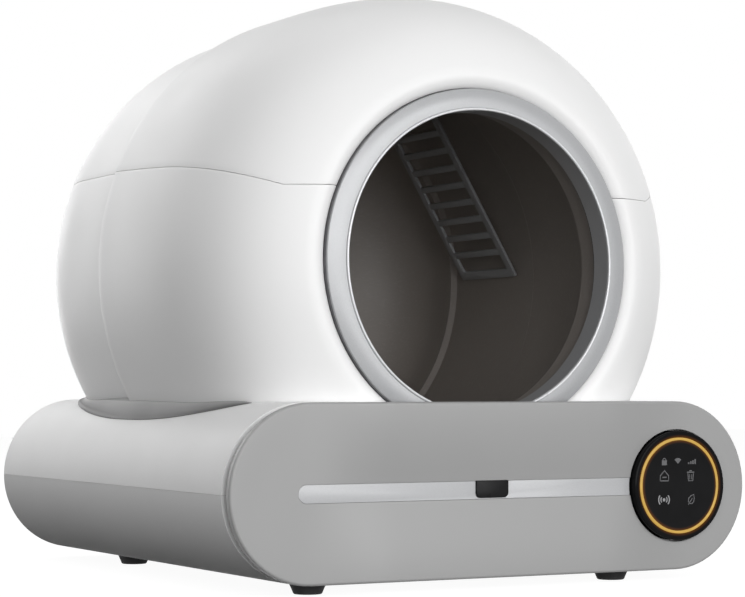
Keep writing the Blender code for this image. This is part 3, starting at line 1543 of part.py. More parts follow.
def make_electronics():
    """Control board on its posts and the power inlet."""
    board = box(
        "main_board",
        (BOARD_LEFT_X, BOARD_FRONT_AT, BOARD_Z),
        (BOARD_LEFT_X + BOARD_WIDTH, BOARD_FRONT_AT + BOARD_LENGTH, BOARD_Z + BOARD_THICKNESS),
        "circuit_board",
    )
    middle_x = BOARD_LEFT_X + BOARD_WIDTH / 2
    for i in range(CHIP_COUNT):
        middle_at = BOARD_FRONT_AT + BOARD_LENGTH * (i + 1) / (CHIP_COUNT + 1)
        chip = box(
            f"board_chip_{i}",
            (middle_x - CHIP_SIZE / 2, middle_at - CHIP_SIZE / 2, BOARD_Z + BOARD_THICKNESS / 2),
            (
                middle_x + CHIP_SIZE / 2,
                middle_at + CHIP_SIZE / 2,
                BOARD_Z + BOARD_THICKNESS + CHIP_HEIGHT,
            ),
        )
        add_boolean(board, chip, "UNION")
    flange_at = BODY_INNER_REAR_AT - FIT - INLET_FLANGE_THICKNESS
    rear_at = BASE_DEPTH
    body_at = rear_at - INLET_LENGTH
    profile = [
        (0, body_at),
        (INLET_RADIUS, body_at),
        (INLET_RADIUS, flange_at),
        (INLET_FLANGE_RADIUS, flange_at),
        (INLET_FLANGE_RADIUS, flange_at + INLET_FLANGE_THICKNESS),
        (INLET_RADIUS, flange_at + INLET_FLANGE_THICKNESS),
        (INLET_RADIUS, rear_at),
        (INLET_BORE_RADIUS, rear_at),
        (INLET_BORE_RADIUS, rear_at - INLET_BORE_DEPTH),
        (0, rear_at - INLET_BORE_DEPTH),
    ]
    turned("power_inlet", profile, ROD_SIDES, "black_plastic", False, (INLET_X, INLET_Z))


def main():
    """Builds the whole machine."""
    clear_scene()
    make_base()
    make_casing()
    make_seat()
    make_entrance()
    make_drum()
    make_sensor()
    make_drive()
    make_rollers()
    make_drawer()
    make_rails()
    make_catch()
    make_display()
    make_electronics()


main()
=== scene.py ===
"""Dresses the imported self-cleaning litter box for its picture.

Every length is in metres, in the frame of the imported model: +Z up, the entrance towards -Y,
the floor at Z = 0. A place named "at" is a distance behind the face of the drawer's front.
"""

from __future__ import annotations

import sys

import json
import logging
import math
from dataclasses import dataclass, field
from enum import Enum
from typing import Callable, Iterable, Protocol, Sequence

import bmesh
import bpy
from mathutils import Matrix, Vector

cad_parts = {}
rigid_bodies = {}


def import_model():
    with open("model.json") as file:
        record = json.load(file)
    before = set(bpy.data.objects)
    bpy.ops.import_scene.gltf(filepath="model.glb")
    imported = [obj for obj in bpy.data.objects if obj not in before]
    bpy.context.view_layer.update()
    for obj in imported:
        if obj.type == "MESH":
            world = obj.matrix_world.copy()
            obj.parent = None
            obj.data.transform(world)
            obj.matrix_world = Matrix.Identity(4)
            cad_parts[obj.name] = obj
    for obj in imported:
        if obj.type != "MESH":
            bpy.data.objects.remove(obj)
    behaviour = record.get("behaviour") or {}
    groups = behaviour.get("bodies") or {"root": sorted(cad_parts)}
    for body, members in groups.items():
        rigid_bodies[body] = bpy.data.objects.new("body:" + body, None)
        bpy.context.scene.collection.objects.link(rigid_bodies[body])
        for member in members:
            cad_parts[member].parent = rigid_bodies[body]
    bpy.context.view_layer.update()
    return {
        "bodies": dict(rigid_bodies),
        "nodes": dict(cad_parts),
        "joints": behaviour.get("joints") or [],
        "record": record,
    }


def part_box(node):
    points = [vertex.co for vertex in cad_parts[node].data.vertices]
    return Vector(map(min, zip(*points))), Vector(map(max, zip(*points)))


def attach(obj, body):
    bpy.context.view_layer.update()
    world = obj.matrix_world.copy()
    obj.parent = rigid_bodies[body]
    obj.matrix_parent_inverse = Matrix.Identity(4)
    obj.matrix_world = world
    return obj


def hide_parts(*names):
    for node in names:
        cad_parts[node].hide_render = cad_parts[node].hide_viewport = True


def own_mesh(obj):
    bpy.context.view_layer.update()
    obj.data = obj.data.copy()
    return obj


LOG = logging.getLogger("litter_box")

Point = tuple[float, float, float]
Flat = tuple[float, float]
Span = tuple[float, float]
Obj = bpy.types.Object
Socket = bpy.types.NodeSocket
Material = bpy.types.Material

# Lengths in metres; WHITE is in linear light
MM = 0.001
FRONT_Y = -0.287
AXIS_Z = 0.300
FIT = 0.0003
SMOOTH_ANGLE = math.radians(32)
MERGE_DISTANCE = 0.000002
DISPLAY_MIDDLE: Flat = (0.1945, 0.090)
LIT_INNER = 0.0430
LIT_OUTER = 0.0454
TAB_X = -0.011
TAB_ROD_Z = 0.09495
WHITE = (1, 1, 1, 1)
ROUGH_MARGIN = 0.03
CORNERS = ("front_left", "front_right", "rear_left", "rear_right")


class Body(Enum):
    """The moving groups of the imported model."""

    BASE = "base"
    DRUM = "drum"
    PINION = "pinion"
    DRAWER = "drawer"
    TAB = "tab"
    COVER = "cover"


class Slot(Enum):
    """The finishes that the record names."""

    WHITE = "white_plastic"
    LIGHT_GREY = "light_grey_plastic"
    GREY = "grey_plastic"
    SEAT = "dark_seat"
    SILVER = "silver_plastic"
    STRIP = "pale_strip"
    DRUM = "drum_plastic"
    SEAL = "soft_seal"
    RUBBER = "black_rubber"
    BLACK = "black_plastic"
    GLOSS = "black_gloss"
    LIGHT = "amber_light"
    GEAR = "gear_plastic"
    INNER = "inner_plastic"
    STEEL = "steel"
    BOARD = "circuit_board"


# Nodes and finishes


def linear(code: str) -> tuple[float, float, float, float]:
    """Turns an sRGB hex colour into linear light.

    Args:
        code: six hex digits after a hash sign.

    Returns:
        Red, green, blue and an alpha of one.
    """
    parts = [int(code[i : i + 2], 16) / 255 for i in (1, 3, 5)]
    light = [p / 12.92 if p <= 0.04045 else ((p + 0.055) / 1.055) ** 2.4 for p in parts]
    return light[0], light[1], light[2], 1.0


def toned(code: str, share: float) -> tuple[float, float, float, float]:
    """A colour made lighter or darker.

    Args:
        code: sRGB hex colour.
        share: what is added to each channel, as a share of it.

    Returns:
        The linear colour, held below one.
    """
    red, green, blue = (min(channel * (1 + share), 1) for channel in linear(code)[:3])
    return red, green, blue, 1.0


def add_node(tree: bpy.types.NodeTree, kind: str, inputs: dict | None = None, **settings: object) -> bpy.types.Node:
    """Adds a node, sets its options and fills or links its inputs.

    Args:
        tree: the tree that gets the node.
        kind: the node's type name.
        inputs: values or output sockets, by input name or number.
        settings: properties of the node.

    Returns:
        The new node.
    """
    node = tree.nodes.new(kind)
    for name, value in settings.items():
        setattr(node, name, value)
    for key, value in (inputs or {}).items():
        if isinstance(value, Socket):
            tree.links.new(value, node.inputs[key])
        else:
            node.inputs[key].default_value = value
    return node


class Sheet:
    """A material in the making: one Principled shader and the patterns that feed it."""

    def __init__(self, name: str, **constants: float) -> None:
        """Starts the material.

        Args:
            name: the material's name.
            constants: shader inputs that are the same all over, by name with underscores.
        """
        self.material = bpy.data.materials.new(name)
        self.material.use_nodes = True
        self.tree = self.material.node_tree
        self.shader = self.tree.nodes["Principled BSDF"]
        for key, value in constants.items():
            self.shader.inputs[key.replace("_", " ")].default_value = value

    def node(self, kind: str, inputs: dict | None = None, **settings: object) -> bpy.types.Node:
        """Adds a node to this material."""
        return add_node(self.tree, kind, inputs, **settings)

    def place(self, middle: Point = (0, 0, 0), scale: Point = (1, 1, 1)) -> Socket:
        """Object coordinates from a middle, stretched.

        Args:
            middle: the point that becomes the pattern's zero.
            scale: how much each axis is stretched.

        Returns:
            The coordinates.
        """
        source = self.node("ShaderNodeTexCoord")
        shift = [-m * s for m, s in zip(middle, scale)]
        mapping = {"Vector": source.outputs["Object"], "Location": shift, "Scale": scale}
        return self.node("ShaderNodeMapping", mapping).outputs["Vector"]

    def noise(self, place: Socket, size_mm: float, detail: float = 2.0) -> Socket:
        """A soft random pattern with spots of about a size."""
        inputs = {"Vector": place, "Scale": 1 / (size_mm * MM), "Detail": detail}
        return self.node("ShaderNodeTexNoise", inputs).outputs[0]

    def cells(self, place: Socket, size_mm: float, inputs: dict | None = None, **settings: object) -> Socket:
        """How far each place is from the middle of its cell, with cells of about a size."""
        inputs = {"Vector": place, "Scale": 1 / (size_mm * MM), **(inputs or {})}
        return self.node("ShaderNodeTexVoronoi", inputs, **settings).outputs["Distance"]

    def maths(self, operation: str, *values: object) -> Socket:
        """The result of an operation on one or two values or outputs."""
        return self.node("ShaderNodeMath", dict(enumerate(values)), operation=operation).outputs[0]

    def spread(self, value: Socket, low: float = 0, high: float = 1, start: float = 0.3, end: float = 0.7) -> Socket:
        """Maps a pattern's middle range to another one."""
        inputs = {"Value": value, "From Min": start, "From Max": end, "To Min": low, "To Max": high}
        return self.node("ShaderNodeMapRange", inputs).outputs["Result"]

    def mixed(self, factor: Socket, first: object, second: object) -> Socket:
        """Mixes two colours, or two colour outputs, by a factor."""
        mix = self.node("ShaderNodeMix", {0: factor, 6: first, 7: second}, data_type="RGBA")
        return mix.outputs[2]

    def tone(self, factor: Socket, color: str, low: float, high: float) -> Socket:
        """A colour that a factor takes from one share lighter or darker to another."""
        return self.mixed(factor, toned(color, low), toned(color, high))

    def bump(self, height: Socket, height_mm: float, before: Socket | None = None) -> Socket:
        """Raises the surface by a pattern.

        Args:
            height: the pattern, from zero to one.
            height_mm: how tall its full height stands.
            before: the normal of an earlier bump.

        Returns:
            The new normal.
        """
        inputs = {"Height": height, "Distance": height_mm * MM, "Strength": 1.0}
        if before:
            inputs["Normal"] = before
        return self.node("ShaderNodeBump", inputs).outputs["Normal"]

    def finished(self, **patterns: Socket) -> Material:
        """Feeds patterns to the shader's inputs, by name with underscores, and gives the material."""
        for key, socket in patterns.items():
            self.tree.links.new(socket, self.shader.inputs[key.replace("_", " ")])
        return self.material


@dataclass(frozen=True)
class Moulding:
    """Injection-moulded plastic: slow flow clouds in its tone and a fine etched grain."""

    name: str
    color: str
    roughness: float = 0.40
    grain_mm: float = 1.0
    grain_height_mm: float = 0.006
    cloud_mm: float = 110.0
    tone_share: float = 0.02
    specular: float = 0.5
    scuff_share: float = 0.0

    def build(self) -> Material:
        """Makes the material."""
        sheet = Sheet(self.name, Specular_IOR_Level=self.specular)
        place = sheet.place()
        cloud = sheet.noise(place, self.cloud_mm, 3.0)
        tone = sheet.tone(sheet.spread(cloud), self.color, -self.tone_share, self.tone_share)
        haze = sheet.noise(place, self.cloud_mm * 0.35)
        rough = sheet.spread(haze, self.roughness - ROUGH_MARGIN, self.roughness + ROUGH_MARGIN)
        if self.scuff_share:
            # Fine rubbing marks, long along the surface's level direction
            marks = sheet.noise(sheet.place(scale=(1.0, 5.0, 7.0)), 14.0, 6.0)
            light = sheet.spread(marks, 0.0, self.scuff_share, 0.52, 0.72)
            tone = sheet.mixed(light, tone, toned(self.color, 0.9))
        grain = sheet.bump(sheet.noise(place, self.grain_mm), self.grain_height_mm)
        return sheet.finished(Base_Color=tone, Roughness=rough, Normal=grain)


@dataclass(frozen=True)
class DishedMoulding:
    """Moulded plastic whose face dips slowly from its upper and lower edges to a middle line."""

    name: str
    color: str
    middle_z: float
    reach: float
    dip_mm: float
    half_width: float
    roughness: float = 0.42
    roundness: float = 0.012
    fade_width: float = 0.11

    def dish(self, sheet: Sheet) -> Socket:
        """A valley that is round at its bottom, runs out level at its sides and fades at its ends."""
        place = sheet.place(middle=(0, 0, self.middle_z), scale=(1, 1, 1 / self.reach))
        parts = sheet.node("ShaderNodeSeparateXYZ", {0: place}).outputs
        square = sheet.maths("MULTIPLY", parts["Z"], parts["Z"])
        away = sheet.maths("SQRT", sheet.maths("ADD", square, self.roundness))
        valley = sheet.maths("SUBTRACT", away, sheet.maths("MULTIPLY", square, 0.5))
        width = {"From Min": self.half_width - self.fade_width, "From Max": self.half_width}
        inputs = {"Value": sheet.maths("ABSOLUTE", parts["X"]), **width, "To Min": 1.0, "To Max": 0.0}
        fade = sheet.node("ShaderNodeMapRange", inputs, interpolation_type="SMOOTHERSTEP").outputs["Result"]
        return sheet.maths("MULTIPLY", valley, fade)

    def build(self) -> Material:
        """Makes the material."""
        sheet = Sheet(self.name, Specular_IOR_Level=0.4)
        cloud = sheet.noise(sheet.place(), 120.0, 3.0)
        dish = sheet.bump(self.dish(sheet), self.dip_mm)
        return sheet.finished(
            Base_Color=sheet.tone(sheet.spread(cloud), self.color, -0.015, 0.015),
            Roughness=sheet.spread(cloud, self.roughness - ROUGH_MARGIN, self.roughness + ROUGH_MARGIN),
            Normal=sheet.bump(sheet.noise(sheet.place(), Moulding.grain_mm), Moulding.grain_height_mm, dish),
        )


@dataclass(frozen=True)
class SeatMoulding:
    """Grey moulded plastic with painted shade: its colour darkens from the seat's crest down to its toe, where the
    globe shades it.
    """

    name: str
    crest: str
    toe: str

    def build(self) -> Material:
        """Makes the material."""
        sheet = Sheet(self.name, Specular_IOR_Level=0.3)
        # The rise share sets the painted shade: darkest at the toe, lighter up to the crest.
        rise = sheet.node("ShaderNodeAttribute", attribute_name="rise").outputs["Fac"]
        cloud = sheet.noise(sheet.place(), 70.0, 3.0)
        toe = sheet.tone(cloud, self.toe, -0.03, 0.03)
        return sheet.finished(
            Base_Color=sheet.mixed(sheet.spread(rise, start=0.0, end=0.9), toe, linear(self.crest)),
            Roughness=sheet.spread(cloud, 0.48, 0.56),
            Normal=sheet.bump(sheet.noise(sheet.place(), 1.4), 0.02),
        )


@dataclass(frozen=True)
class SilverPaint:
    """Metallic paint: fine flakes under a satin coat, over faint lines of the turned mould."""

    name: str
    color: str
    roughness: float = 0.30
    metallic: float = 0.35
    line_mm: float = 1.6
    turned: bool = True

    def build(self) -> Material:
        """Makes the material."""
        sheet = Sheet(self.name, Metallic=self.metallic, Coat_Weight=0.25, Coat_Roughness=0.2)
        place = sheet.place(middle=(0, 0, AXIS_Z))
        # Real flakes are 0.05 mm; these are coarser, so that a picture can hold them.
        flakes = sheet.spread(sheet.cells(place, 0.7), start=0.1, end=0.8)
        if self.turned:
            # A wave's ring is 0.314 divided by its scale wide.
            inputs = {"Vector": place, "Scale": 0.314 / (self.line_mm * MM)}
            lines = sheet.node("ShaderNodeTexWave", inputs, wave_type="RINGS", rings_direction="Y").outputs["Fac"]
        else:
            lines = sheet.noise(sheet.place(scale=(0.05, 1, 1)), self.line_mm, 2.0)
        return sheet.finished(
            Base_Color=sheet.tone(flakes, self.color, 0.05, -0.05),
            Roughness=sheet.spread(sheet.noise(place, 60.0), self.roughness - 0.04, self.roughness + 0.04),
            Normal=sheet.bump(lines, 0.004),
        )


@dataclass(frozen=True)
class GlossBlack:
    """Black plastic, glossy like glass, with a trace of haze; it can carry a painted glow round the lit ring."""

    name: str
    color: str
    haze: float = 0.10
    specular: float = 0.25
    glow_radius: float = 0.0
    glow_power: float = 0.0
    glow_width: float = 0.0034
    glow_color: str = "#C87410"

    def glow(self, sheet: Sheet) -> Socket:
        """Strength of a painted glow: emission painted on the black round the lit ring, standing in for its halo."""
        middle = (DISPLAY_MIDDLE[0], 0, DISPLAY_MIDDLE[1])
        centre = sheet.place(middle=middle, scale=(1, 0, 1))
        far = sheet.node("ShaderNodeVectorMath", {0: centre}, operation="LENGTH").outputs["Value"]
        gap = sheet.maths("ABSOLUTE", sheet.maths("SUBTRACT", far, self.glow_radius))
        near = sheet.spread(gap, 1.0, 0.0, 0.0, self.glow_width)
        return sheet.maths("MULTIPLY", sheet.maths("POWER", near, 1.6), self.glow_power)

    def build(self) -> Material:
        """Makes the material."""
        sheet = Sheet(self.name, Specular_IOR_Level=self.specular)
        place = sheet.place()
        smear = sheet.noise(place, 18.0, 3.0)
        patterns = {
            "Base_Color": sheet.tone(sheet.spread(smear), self.color, 0.0, 0.5),
            "Roughness": sheet.spread(smear, self.haze * 0.7, self.haze * 1.4),
            "Normal": sheet.bump(sheet.noise(place, 45.0), 0.02),
        }
        # Painted glow: this black is no lamp, yet it gets emission round the lit ring.
        if self.glow_power:
            sheet.shader.inputs["Emission Color"].default_value = linear(self.glow_color)
            patterns["Emission_Strength"] = self.glow(sheet)
        return sheet.finished(**patterns)


@dataclass(frozen=True)
class LitGuide:
    """A frosted light guide, lit from inside by a row of small lamps."""

    name: str
    color: str
    power: float

    def build(self) -> Material:
        """Makes the material."""
        sheet = Sheet(self.name, Roughness=0.35, Specular_IOR_Level=0.2, Emission_Color=linear(self.color))
        cloud = sheet.noise(sheet.place(), 7.0)
        return sheet.finished(
            Base_Color=sheet.tone(cloud, self.color, -0.9, -0.8),
            Emission_Strength=sheet.spread(cloud, self.power * 0.93, self.power * 1.07),
        )


@dataclass(frozen=True)
class Rubber:
    """Moulded rubber: dull, with fine pits and a dusty tone on its skin."""

    name: str
    color: str
    pit_mm: float = 0.9

    def build(self) -> Material:
        """Makes the material."""
        sheet = Sheet(self.name, Specular_IOR_Level=0.35)
        place = sheet.place()
        dust = sheet.noise(place, 9.0, 5.0)
        return sheet.finished(
            Base_Color=sheet.tone(sheet.spread(dust), self.color, 0.0, 0.45),
            Roughness=sheet.spread(dust, 0.72, 0.9),
            Normal=sheet.bump(sheet.cells(place, self.pit_mm), 0.03),
        )


@dataclass(frozen=True)
class PlatedSteel:
    """Zinc-plated steel sheet or bar: fine drawn lines and a spangled tone."""

    name: str
    color: str = "#C4C6C8"
    roughness: float = 0.34
    drawn: Point = (1.0, 0.04, 1.0)

    def build(self) -> Material:
        """Makes the material."""
        sheet = Sheet(self.name, Metallic=1.0)
        lines = sheet.noise(sheet.place(scale=self.drawn), 0.6, 3.0)
        return sheet.finished(
            Base_Color=sheet.tone(sheet.cells(sheet.place(), 6.0), self.color, 0.08, -0.12),
            Roughness=sheet.spread(lines, self.roughness - 0.07, self.roughness + 0.09),
            Normal=sheet.bump(lines, 0.008),
        )


@dataclass(frozen=True)
class SolderMask:
    """A printed circuit board: green lacquer over raised copper tracks."""

    name: str
    color: str = "#1E6B3C"

    def build(self) -> Material:
        """Makes the material."""
        sheet = Sheet(self.name)
        place = sheet.place()
        cells = sheet.cells(place, 5.0, {"Randomness": 0.35}, distance="CHEBYCHEV")
        track = sheet.spread(cells, start=0.40, end=0.46)
        return sheet.finished(
            Base_Color=sheet.tone(track, self.color, 0.0, 0.7),
            Roughness=sheet.spread(sheet.noise(place, 12.0), 0.28, 0.42),
            Normal=sheet.bump(track, 0.03),
        )


@dataclass(frozen=True)
class ScreenPrint:
    """Grey ink printed on the display's face, a little lit from behind."""

    name: str
    color: str
    power: float

    def build(self) -> Material:
        """Makes the material."""
        sheet = Sheet(self.name, Roughness=0.5, Emission_Color=linear(self.color))
        grain = sheet.noise(sheet.place(), 0.8)
        return sheet.finished(
            Base_Color=sheet.tone(grain, self.color, -0.3, 0.0),
            Emission_Strength=sheet.spread(grain, self.power * 0.8, self.power * 1.2),
        )


class Finish(Protocol):
    """A description of a material."""

    def build(self) -> Material:
        """Makes the material."""


@dataclass(frozen=True)
class Coat:
    """A material with the record's slot that it belongs to."""

    material: Material
    slot: Slot


def coat(finish: Finish, slot: Slot) -> Coat:
    """Builds a finish for a slot."""
    return Coat(finish.build(), slot)


class Finishes:
    """Every coat of the machine, made once."""

    def __init__(self) -> None:
        """Builds the coats."""
        shell = {"roughness": 0.42, "cloud_mm": 160, "tone_share": 0.006, "specular": 0.3}
        self.white_front = coat(Moulding("white_abs_front_shell", "#EDEDED", **shell), Slot.WHITE)
        # The rear shells' white is the front's made lighter: painted light on the rear dome.
        self.white_rear_painted_light = coat(Moulding("white_abs_rear_shell", "#F6F6F6", **shell), Slot.WHITE)
        body = Moulding("light_grey_abs_body", "#EBEBEB", 0.46, tone_share=0.012, specular=0.15)
        self.light_grey = coat(body, Slot.LIGHT_GREY)
        tray = Moulding("light_grey_abs_tray", "#E8E8E8", 0.5, tone_share=0.012, specular=0.01)
        self.tray_grey = coat(tray, Slot.LIGHT_GREY)
        front = DishedMoulding("grey_abs_dished_front", "#9A9A9A", 0.090, 0.080, 25.0, 0.215)
        self.grey = coat(front, Slot.GREY)
        self.frame_grey = coat(Moulding("grey_abs_bag_frame", "#939394", 0.45), Slot.GREY)
        # The seat's colour paints the shade under the globe, darker towards the toe.
        self.seat = coat(SeatMoulding("dark_grey_abs_seat", "#9D9D9D", "#585858"), Slot.SEAT)
        self.silver = coat(SilverPaint("silver_painted_ring", "#A3A4A6", 0.36, 0.12), Slot.SILVER)
        # The lip's lighter silver is a painted highlight along the ring's inner edge.
        self.painted_highlight = coat(SilverPaint("polished_silver_lip", "#CDCED0", 0.28, 0.15), Slot.SILVER)
        strip = SilverPaint("pale_silver_painted_strip", "#B3B4B6", 0.48, 0.04, turned=False)
        self.strip = coat(strip, Slot.STRIP)
        drum = {"grain_mm": 2.2, "grain_height_mm": 0.05, "scuff_share": 0.10}
        self.drum = coat(Moulding("warm_grey_pp_drum", "#8A847F", 0.5, **drum), Slot.DRUM)
        self.seal = coat(Rubber("black_tpe_seal", "#2B2B2C"), Slot.SEAL)
        # A dark band in the gap beside the ring, whose colour paints the gap's shadow.
        self.gap_shadow_band = coat(Rubber("grey_tpe_gasket", "#5E5E60"), Slot.SEAL)
        self.rubber = coat(Rubber("black_rubber_foot", "#2A2A2B", 1.1), Slot.RUBBER)
        black = Moulding("black_abs_moulded", "#242426", 0.5, grain_mm=0.8, grain_height_mm=0.02)
        self.black = coat(black, Slot.BLACK)
        self.gloss = coat(GlossBlack("black_gloss_abs", "#121213", 0.3, 0.1), Slot.GLOSS)
        # The lens and the bezel carry a painted glow round the lit ring.
        self.lens = coat(GlossBlack("black_gloss_lens", "#0D0D0E", 0.06, 0.10, LIT_INNER, 0.20), Slot.GLOSS)
        self.bezel = coat(GlossBlack("black_gloss_bezel", "#0E0E0F", 0.10, 0.05, LIT_OUTER, 0.17), Slot.GLOSS)
        self.amber = coat(LitGuide("amber_lit_guide", "#E8BC5E", 0.60), Slot.LIGHT)
        self.print_grey = coat(ScreenPrint("grey_backlit_print", "#58585A", 0.05), Slot.GLOSS)
        self.print_bright = coat(ScreenPrint("bright_backlit_print", "#8C8C8E", 0.14), Slot.GLOSS)
        self.acetal = coat(Moulding("natural_acetal_gear", "#DCDBD5", 0.38, tone_share=0.03), Slot.GEAR)
        inner = Moulding("grey_pp_moulded", "#959799", 0.5, grain_height_mm=0.02, scuff_share=0.06)
        self.inner = coat(inner, Slot.INNER)
        self.steel = coat(PlatedSteel("zinc_plated_steel"), Slot.STEEL)
        self.bright_steel = coat(PlatedSteel("drawn_bright_steel", "#CFCFD0", 0.22), Slot.STEEL)
        self.board = coat(SolderMask("green_solder_mask"), Slot.BOARD)
        self.chip = coat(Moulding("black_epoxy_chip", "#1B1B1D", 0.55, grain_height_mm=0.03), Slot.BOARD)


# Meshes


def held(value: float) -> float:
    """A value held between zero and one."""
    return min(max(value, 0), 1)


def eased(value: float) -> float:
    """A value held between zero and one, with soft ends."""
    share = held(value)
    return share * share * (3 - 2 * share)


def shares(steps: int) -> list[float]:
    """Even steps from zero to one, with both."""
    return [i / steps for i in range(steps + 1)]


def quarter(steps: int) -> list[Flat]:
    """A quarter round of radius one: one less the cosine and one less the sine of each angle."""
    turns = [math.radians(90 * i / steps) for i in range(steps + 1)]
    return [(1 - math.cos(t), 1 - math.sin(t)) for t in turns]


def swell(share: float, power: float) -> float:
    """Height of a superellipse's quarter at a share of its reach."""
    return max(1 - share**power, 0) ** (1 / power)


def swell_turns(start: float, power: float, steps: int) -> list[float]:
    """Angles along a superellipse's quarter, from a share of its radius, close together where it turns."""
    first = math.asin(min(start ** (power / 2), 1))
    return [first + (math.pi / 2 - first) * i / steps for i in range(steps + 1)]


def mirrored(profile: Sequence[Flat]) -> list[Flat]:
    """A half profile and its mirror image behind zero."""
    return [*profile, *((radius, -at) for radius, at in reversed(profile))]


def stand(outline: Iterable[Flat], distance: float) -> list[Point]:
    """Stands an outline in X and Z at a distance behind the front's face."""
    return [(x, FRONT_Y + distance, z) for x, z in outline]


def arc(radius: float, start: float, end: float, steps: int, middle: Flat = (0, 0)) -> list[Flat]:
    """Points along an arc, with both ends.

    Args:
        radius: the arc's radius.
        start: first angle, in degrees.
        end: last angle, in degrees.
        steps: how many chords the arc gets.
        middle: the arc's centre.

    Returns:
        The points.
    """
    turns = [math.radians(start + (end - start) * i / steps) for i in range(steps + 1)]
    return [(middle[0] + radius * math.cos(t), middle[1] + radius * math.sin(t)) for t in turns]


def circle(radius: float, sides: int, middle: Flat = (0, 0)) -> list[Flat]:
    """Outline of a circle."""
    return arc(radius, 0, 360, sides, middle)[:-1]


def rounded(width: float, length: float, corner: float, steps: int = 8) -> list[Flat]:
    """Outline of a rectangle with round corners, about zero."""
    across, along = width / 2 - corner, length / 2 - corner
    points: list[Flat] = []
    for i, middle in enumerate(((across, along), (-across, along), (-across, -along), (across, -along))):
        points += arc(corner, 90 * i, 90 * i + 90, steps, middle)
    return points


def placed(name: str, data: bpy.types.ID) -> Obj:
    """Puts a new object with its data into the scene."""
    obj = bpy.data.objects.new(name, data)
    bpy.context.scene.collection.objects.link(obj)
    return obj


def shaped(name: str, shape: bmesh.types.BMesh) -> Obj:
    """Turns a working mesh into an object and frees it."""
    mesh = bpy.data.meshes.new(name)
    shape.to_mesh(mesh)
    shape.free()
    return placed(name, mesh)


def mesh_object(name: str, points: Sequence[Point], faces: Sequence[Sequence[int]], closed: bool = True) -> Obj:
    """Makes a mesh object at the origin.

    Args:
        name: the object's name.
        points: its vertices.
        faces: its faces, as vertex numbers.
        closed: whether it is a closed form, whose faces are then turned outwards.

    Returns:
        The new object.
    """
    mesh = bpy.data.meshes.new(name)
    mesh.from_pydata(points, [], faces)
    shape = bmesh.new()
    shape.from_mesh(mesh)
    bmesh.ops.remove_doubles(shape, verts=shape.verts, dist=MERGE_DISTANCE)
    bmesh.ops.dissolve_degenerate(shape, edges=shape.edges, dist=MERGE_DISTANCE)
    if closed:
        bmesh.ops.recalc_face_normals(shape, faces=shape.faces)
    shape.to_mesh(mesh)
    shape.free()
    return smooth(placed(name, mesh))


def smooth(obj: Obj, angle: float = SMOOTH_ANGLE) -> Obj:
    """Shades an object smooth, apart from its sharp edges."""
    obj.data.shade_smooth()
    obj.data.set_sharp_from_angle(angle=angle)
    return obj


def loft(name: str, loops: Sequence[Sequence[Point]], ends: bool = True, ring: bool = False) -> Obj:
    """Joins closed loops of equal length into a solid.

    Args:
        name: the object's name.
        loops: the cross-sections in order.
        ends: whether the first and last loop are capped.
        ring: whether the last loop is joined back to the first.

    Returns:
        The new object.
    """
    count = len(loops[0])
    points = [point for loop in loops for point in loop]
    faces: list[Sequence[int]] = []
    pairs = list(zip(range(len(loops)), range(1, len(loops))))
    if ring:
        pairs.append((len(loops) - 1, 0))
    for a, b in pairs:
        for j in range(count):
            k = (j + 1) % count
            faces.append((a * count + j, a * count + k, b * count + k, b * count + j))
    if ends and not ring:
        faces.append(tuple(range(count)))
        faces.append(tuple(range((len(loops) - 1) * count, len(loops) * count)))
    return mesh_object(name, points, faces)


def prism(name: str, outline: Sequence[Flat], front: float, rear: float) -> Obj:
    """A block with an outline in X and Z, between two distances behind the front."""
    return loft(name, [stand(outline, front), stand(outline, rear)])


def block(name: str, low: Point, high: Point) -> Obj:
    """A block between two corners."""
    outline = [(low[0], low[1]), (high[0], low[1]), (high[0], high[1]), (low[0], high[1])]
    return loft(name, [[(x, y, z) for x, y in outline] for z in (low[2], high[2])])


def lathe(name: str, profile: Sequence[Flat], sides: int, middle: Flat = (0, AXIS_Z), closed: bool = True) -> Obj:
    """Turns a profile about an axis along Y.

    Args:
        name: the object's name.
        profile: pairs of a radius and a distance behind the front.
        sides: facets round the axis.
        middle: X and Z of the axis.
        closed: whether the profile is a closed loop; an open one starts and ends on the axis.

    Returns:
        The new object.
    """
    loops = [stand(circle(radius, sides, middle), distance) for radius, distance in profile]
    return loft(name, loops, ends=False, ring=closed)


def layered(name: str, rows: Iterable[tuple[list[Flat], float]], foot: Point = (0, 0, 0), ends: bool = True) -> Obj:
    """Joins level outlines, each with its height, into a solid that stands on a point."""
    loops = [[(foot[0] + x, foot[1] + y, foot[2] + z) for x, y in outline] for outline, z in rows]
    return loft(name, loops, ends)


def spindle(name: str, profile: Sequence[Flat], sides: int, foot: Point) -> Obj:
    """Turns a profile of radii and heights, which starts and ends on it, about an upright axis."""
    return layered(name, [(circle(radius, sides), z) for radius, z in profile], foot, ends=False)


def settle(obj: Obj) -> Obj:
    """Turns an object's modifiers into plain mesh."""
    bpy.context.view_layer.update()
    graph = bpy.context.evaluated_depsgraph_get()
    mesh = bpy.data.meshes.new_from_object(obj.evaluated_get(graph))
    mesh.name = obj.name
    old = obj.data
    obj.modifiers.clear()
    obj.data = mesh
    bpy.data.meshes.remove(old)
    return obj


def modified(obj: Obj, kind: str, **settings: object) -> Obj:
    """Gives an object a modifier with its settings and makes it plain mesh."""
    modifier = obj.modifiers.new(kind.lower(), kind)
    for key, value in settings.items():
        setattr(modifier, key, value)
    return settle(obj)


def carve(obj: Obj, *tools: Obj, operation: str = "DIFFERENCE") -> Obj:
    """Cuts tools from an object, or joins them to it, and removes the tools."""
    for tool in tools:
        modified(obj, "BOOLEAN", operation=operation, solver="EXACT", object=tool)
        bpy.data.objects.remove(tool)
    return obj


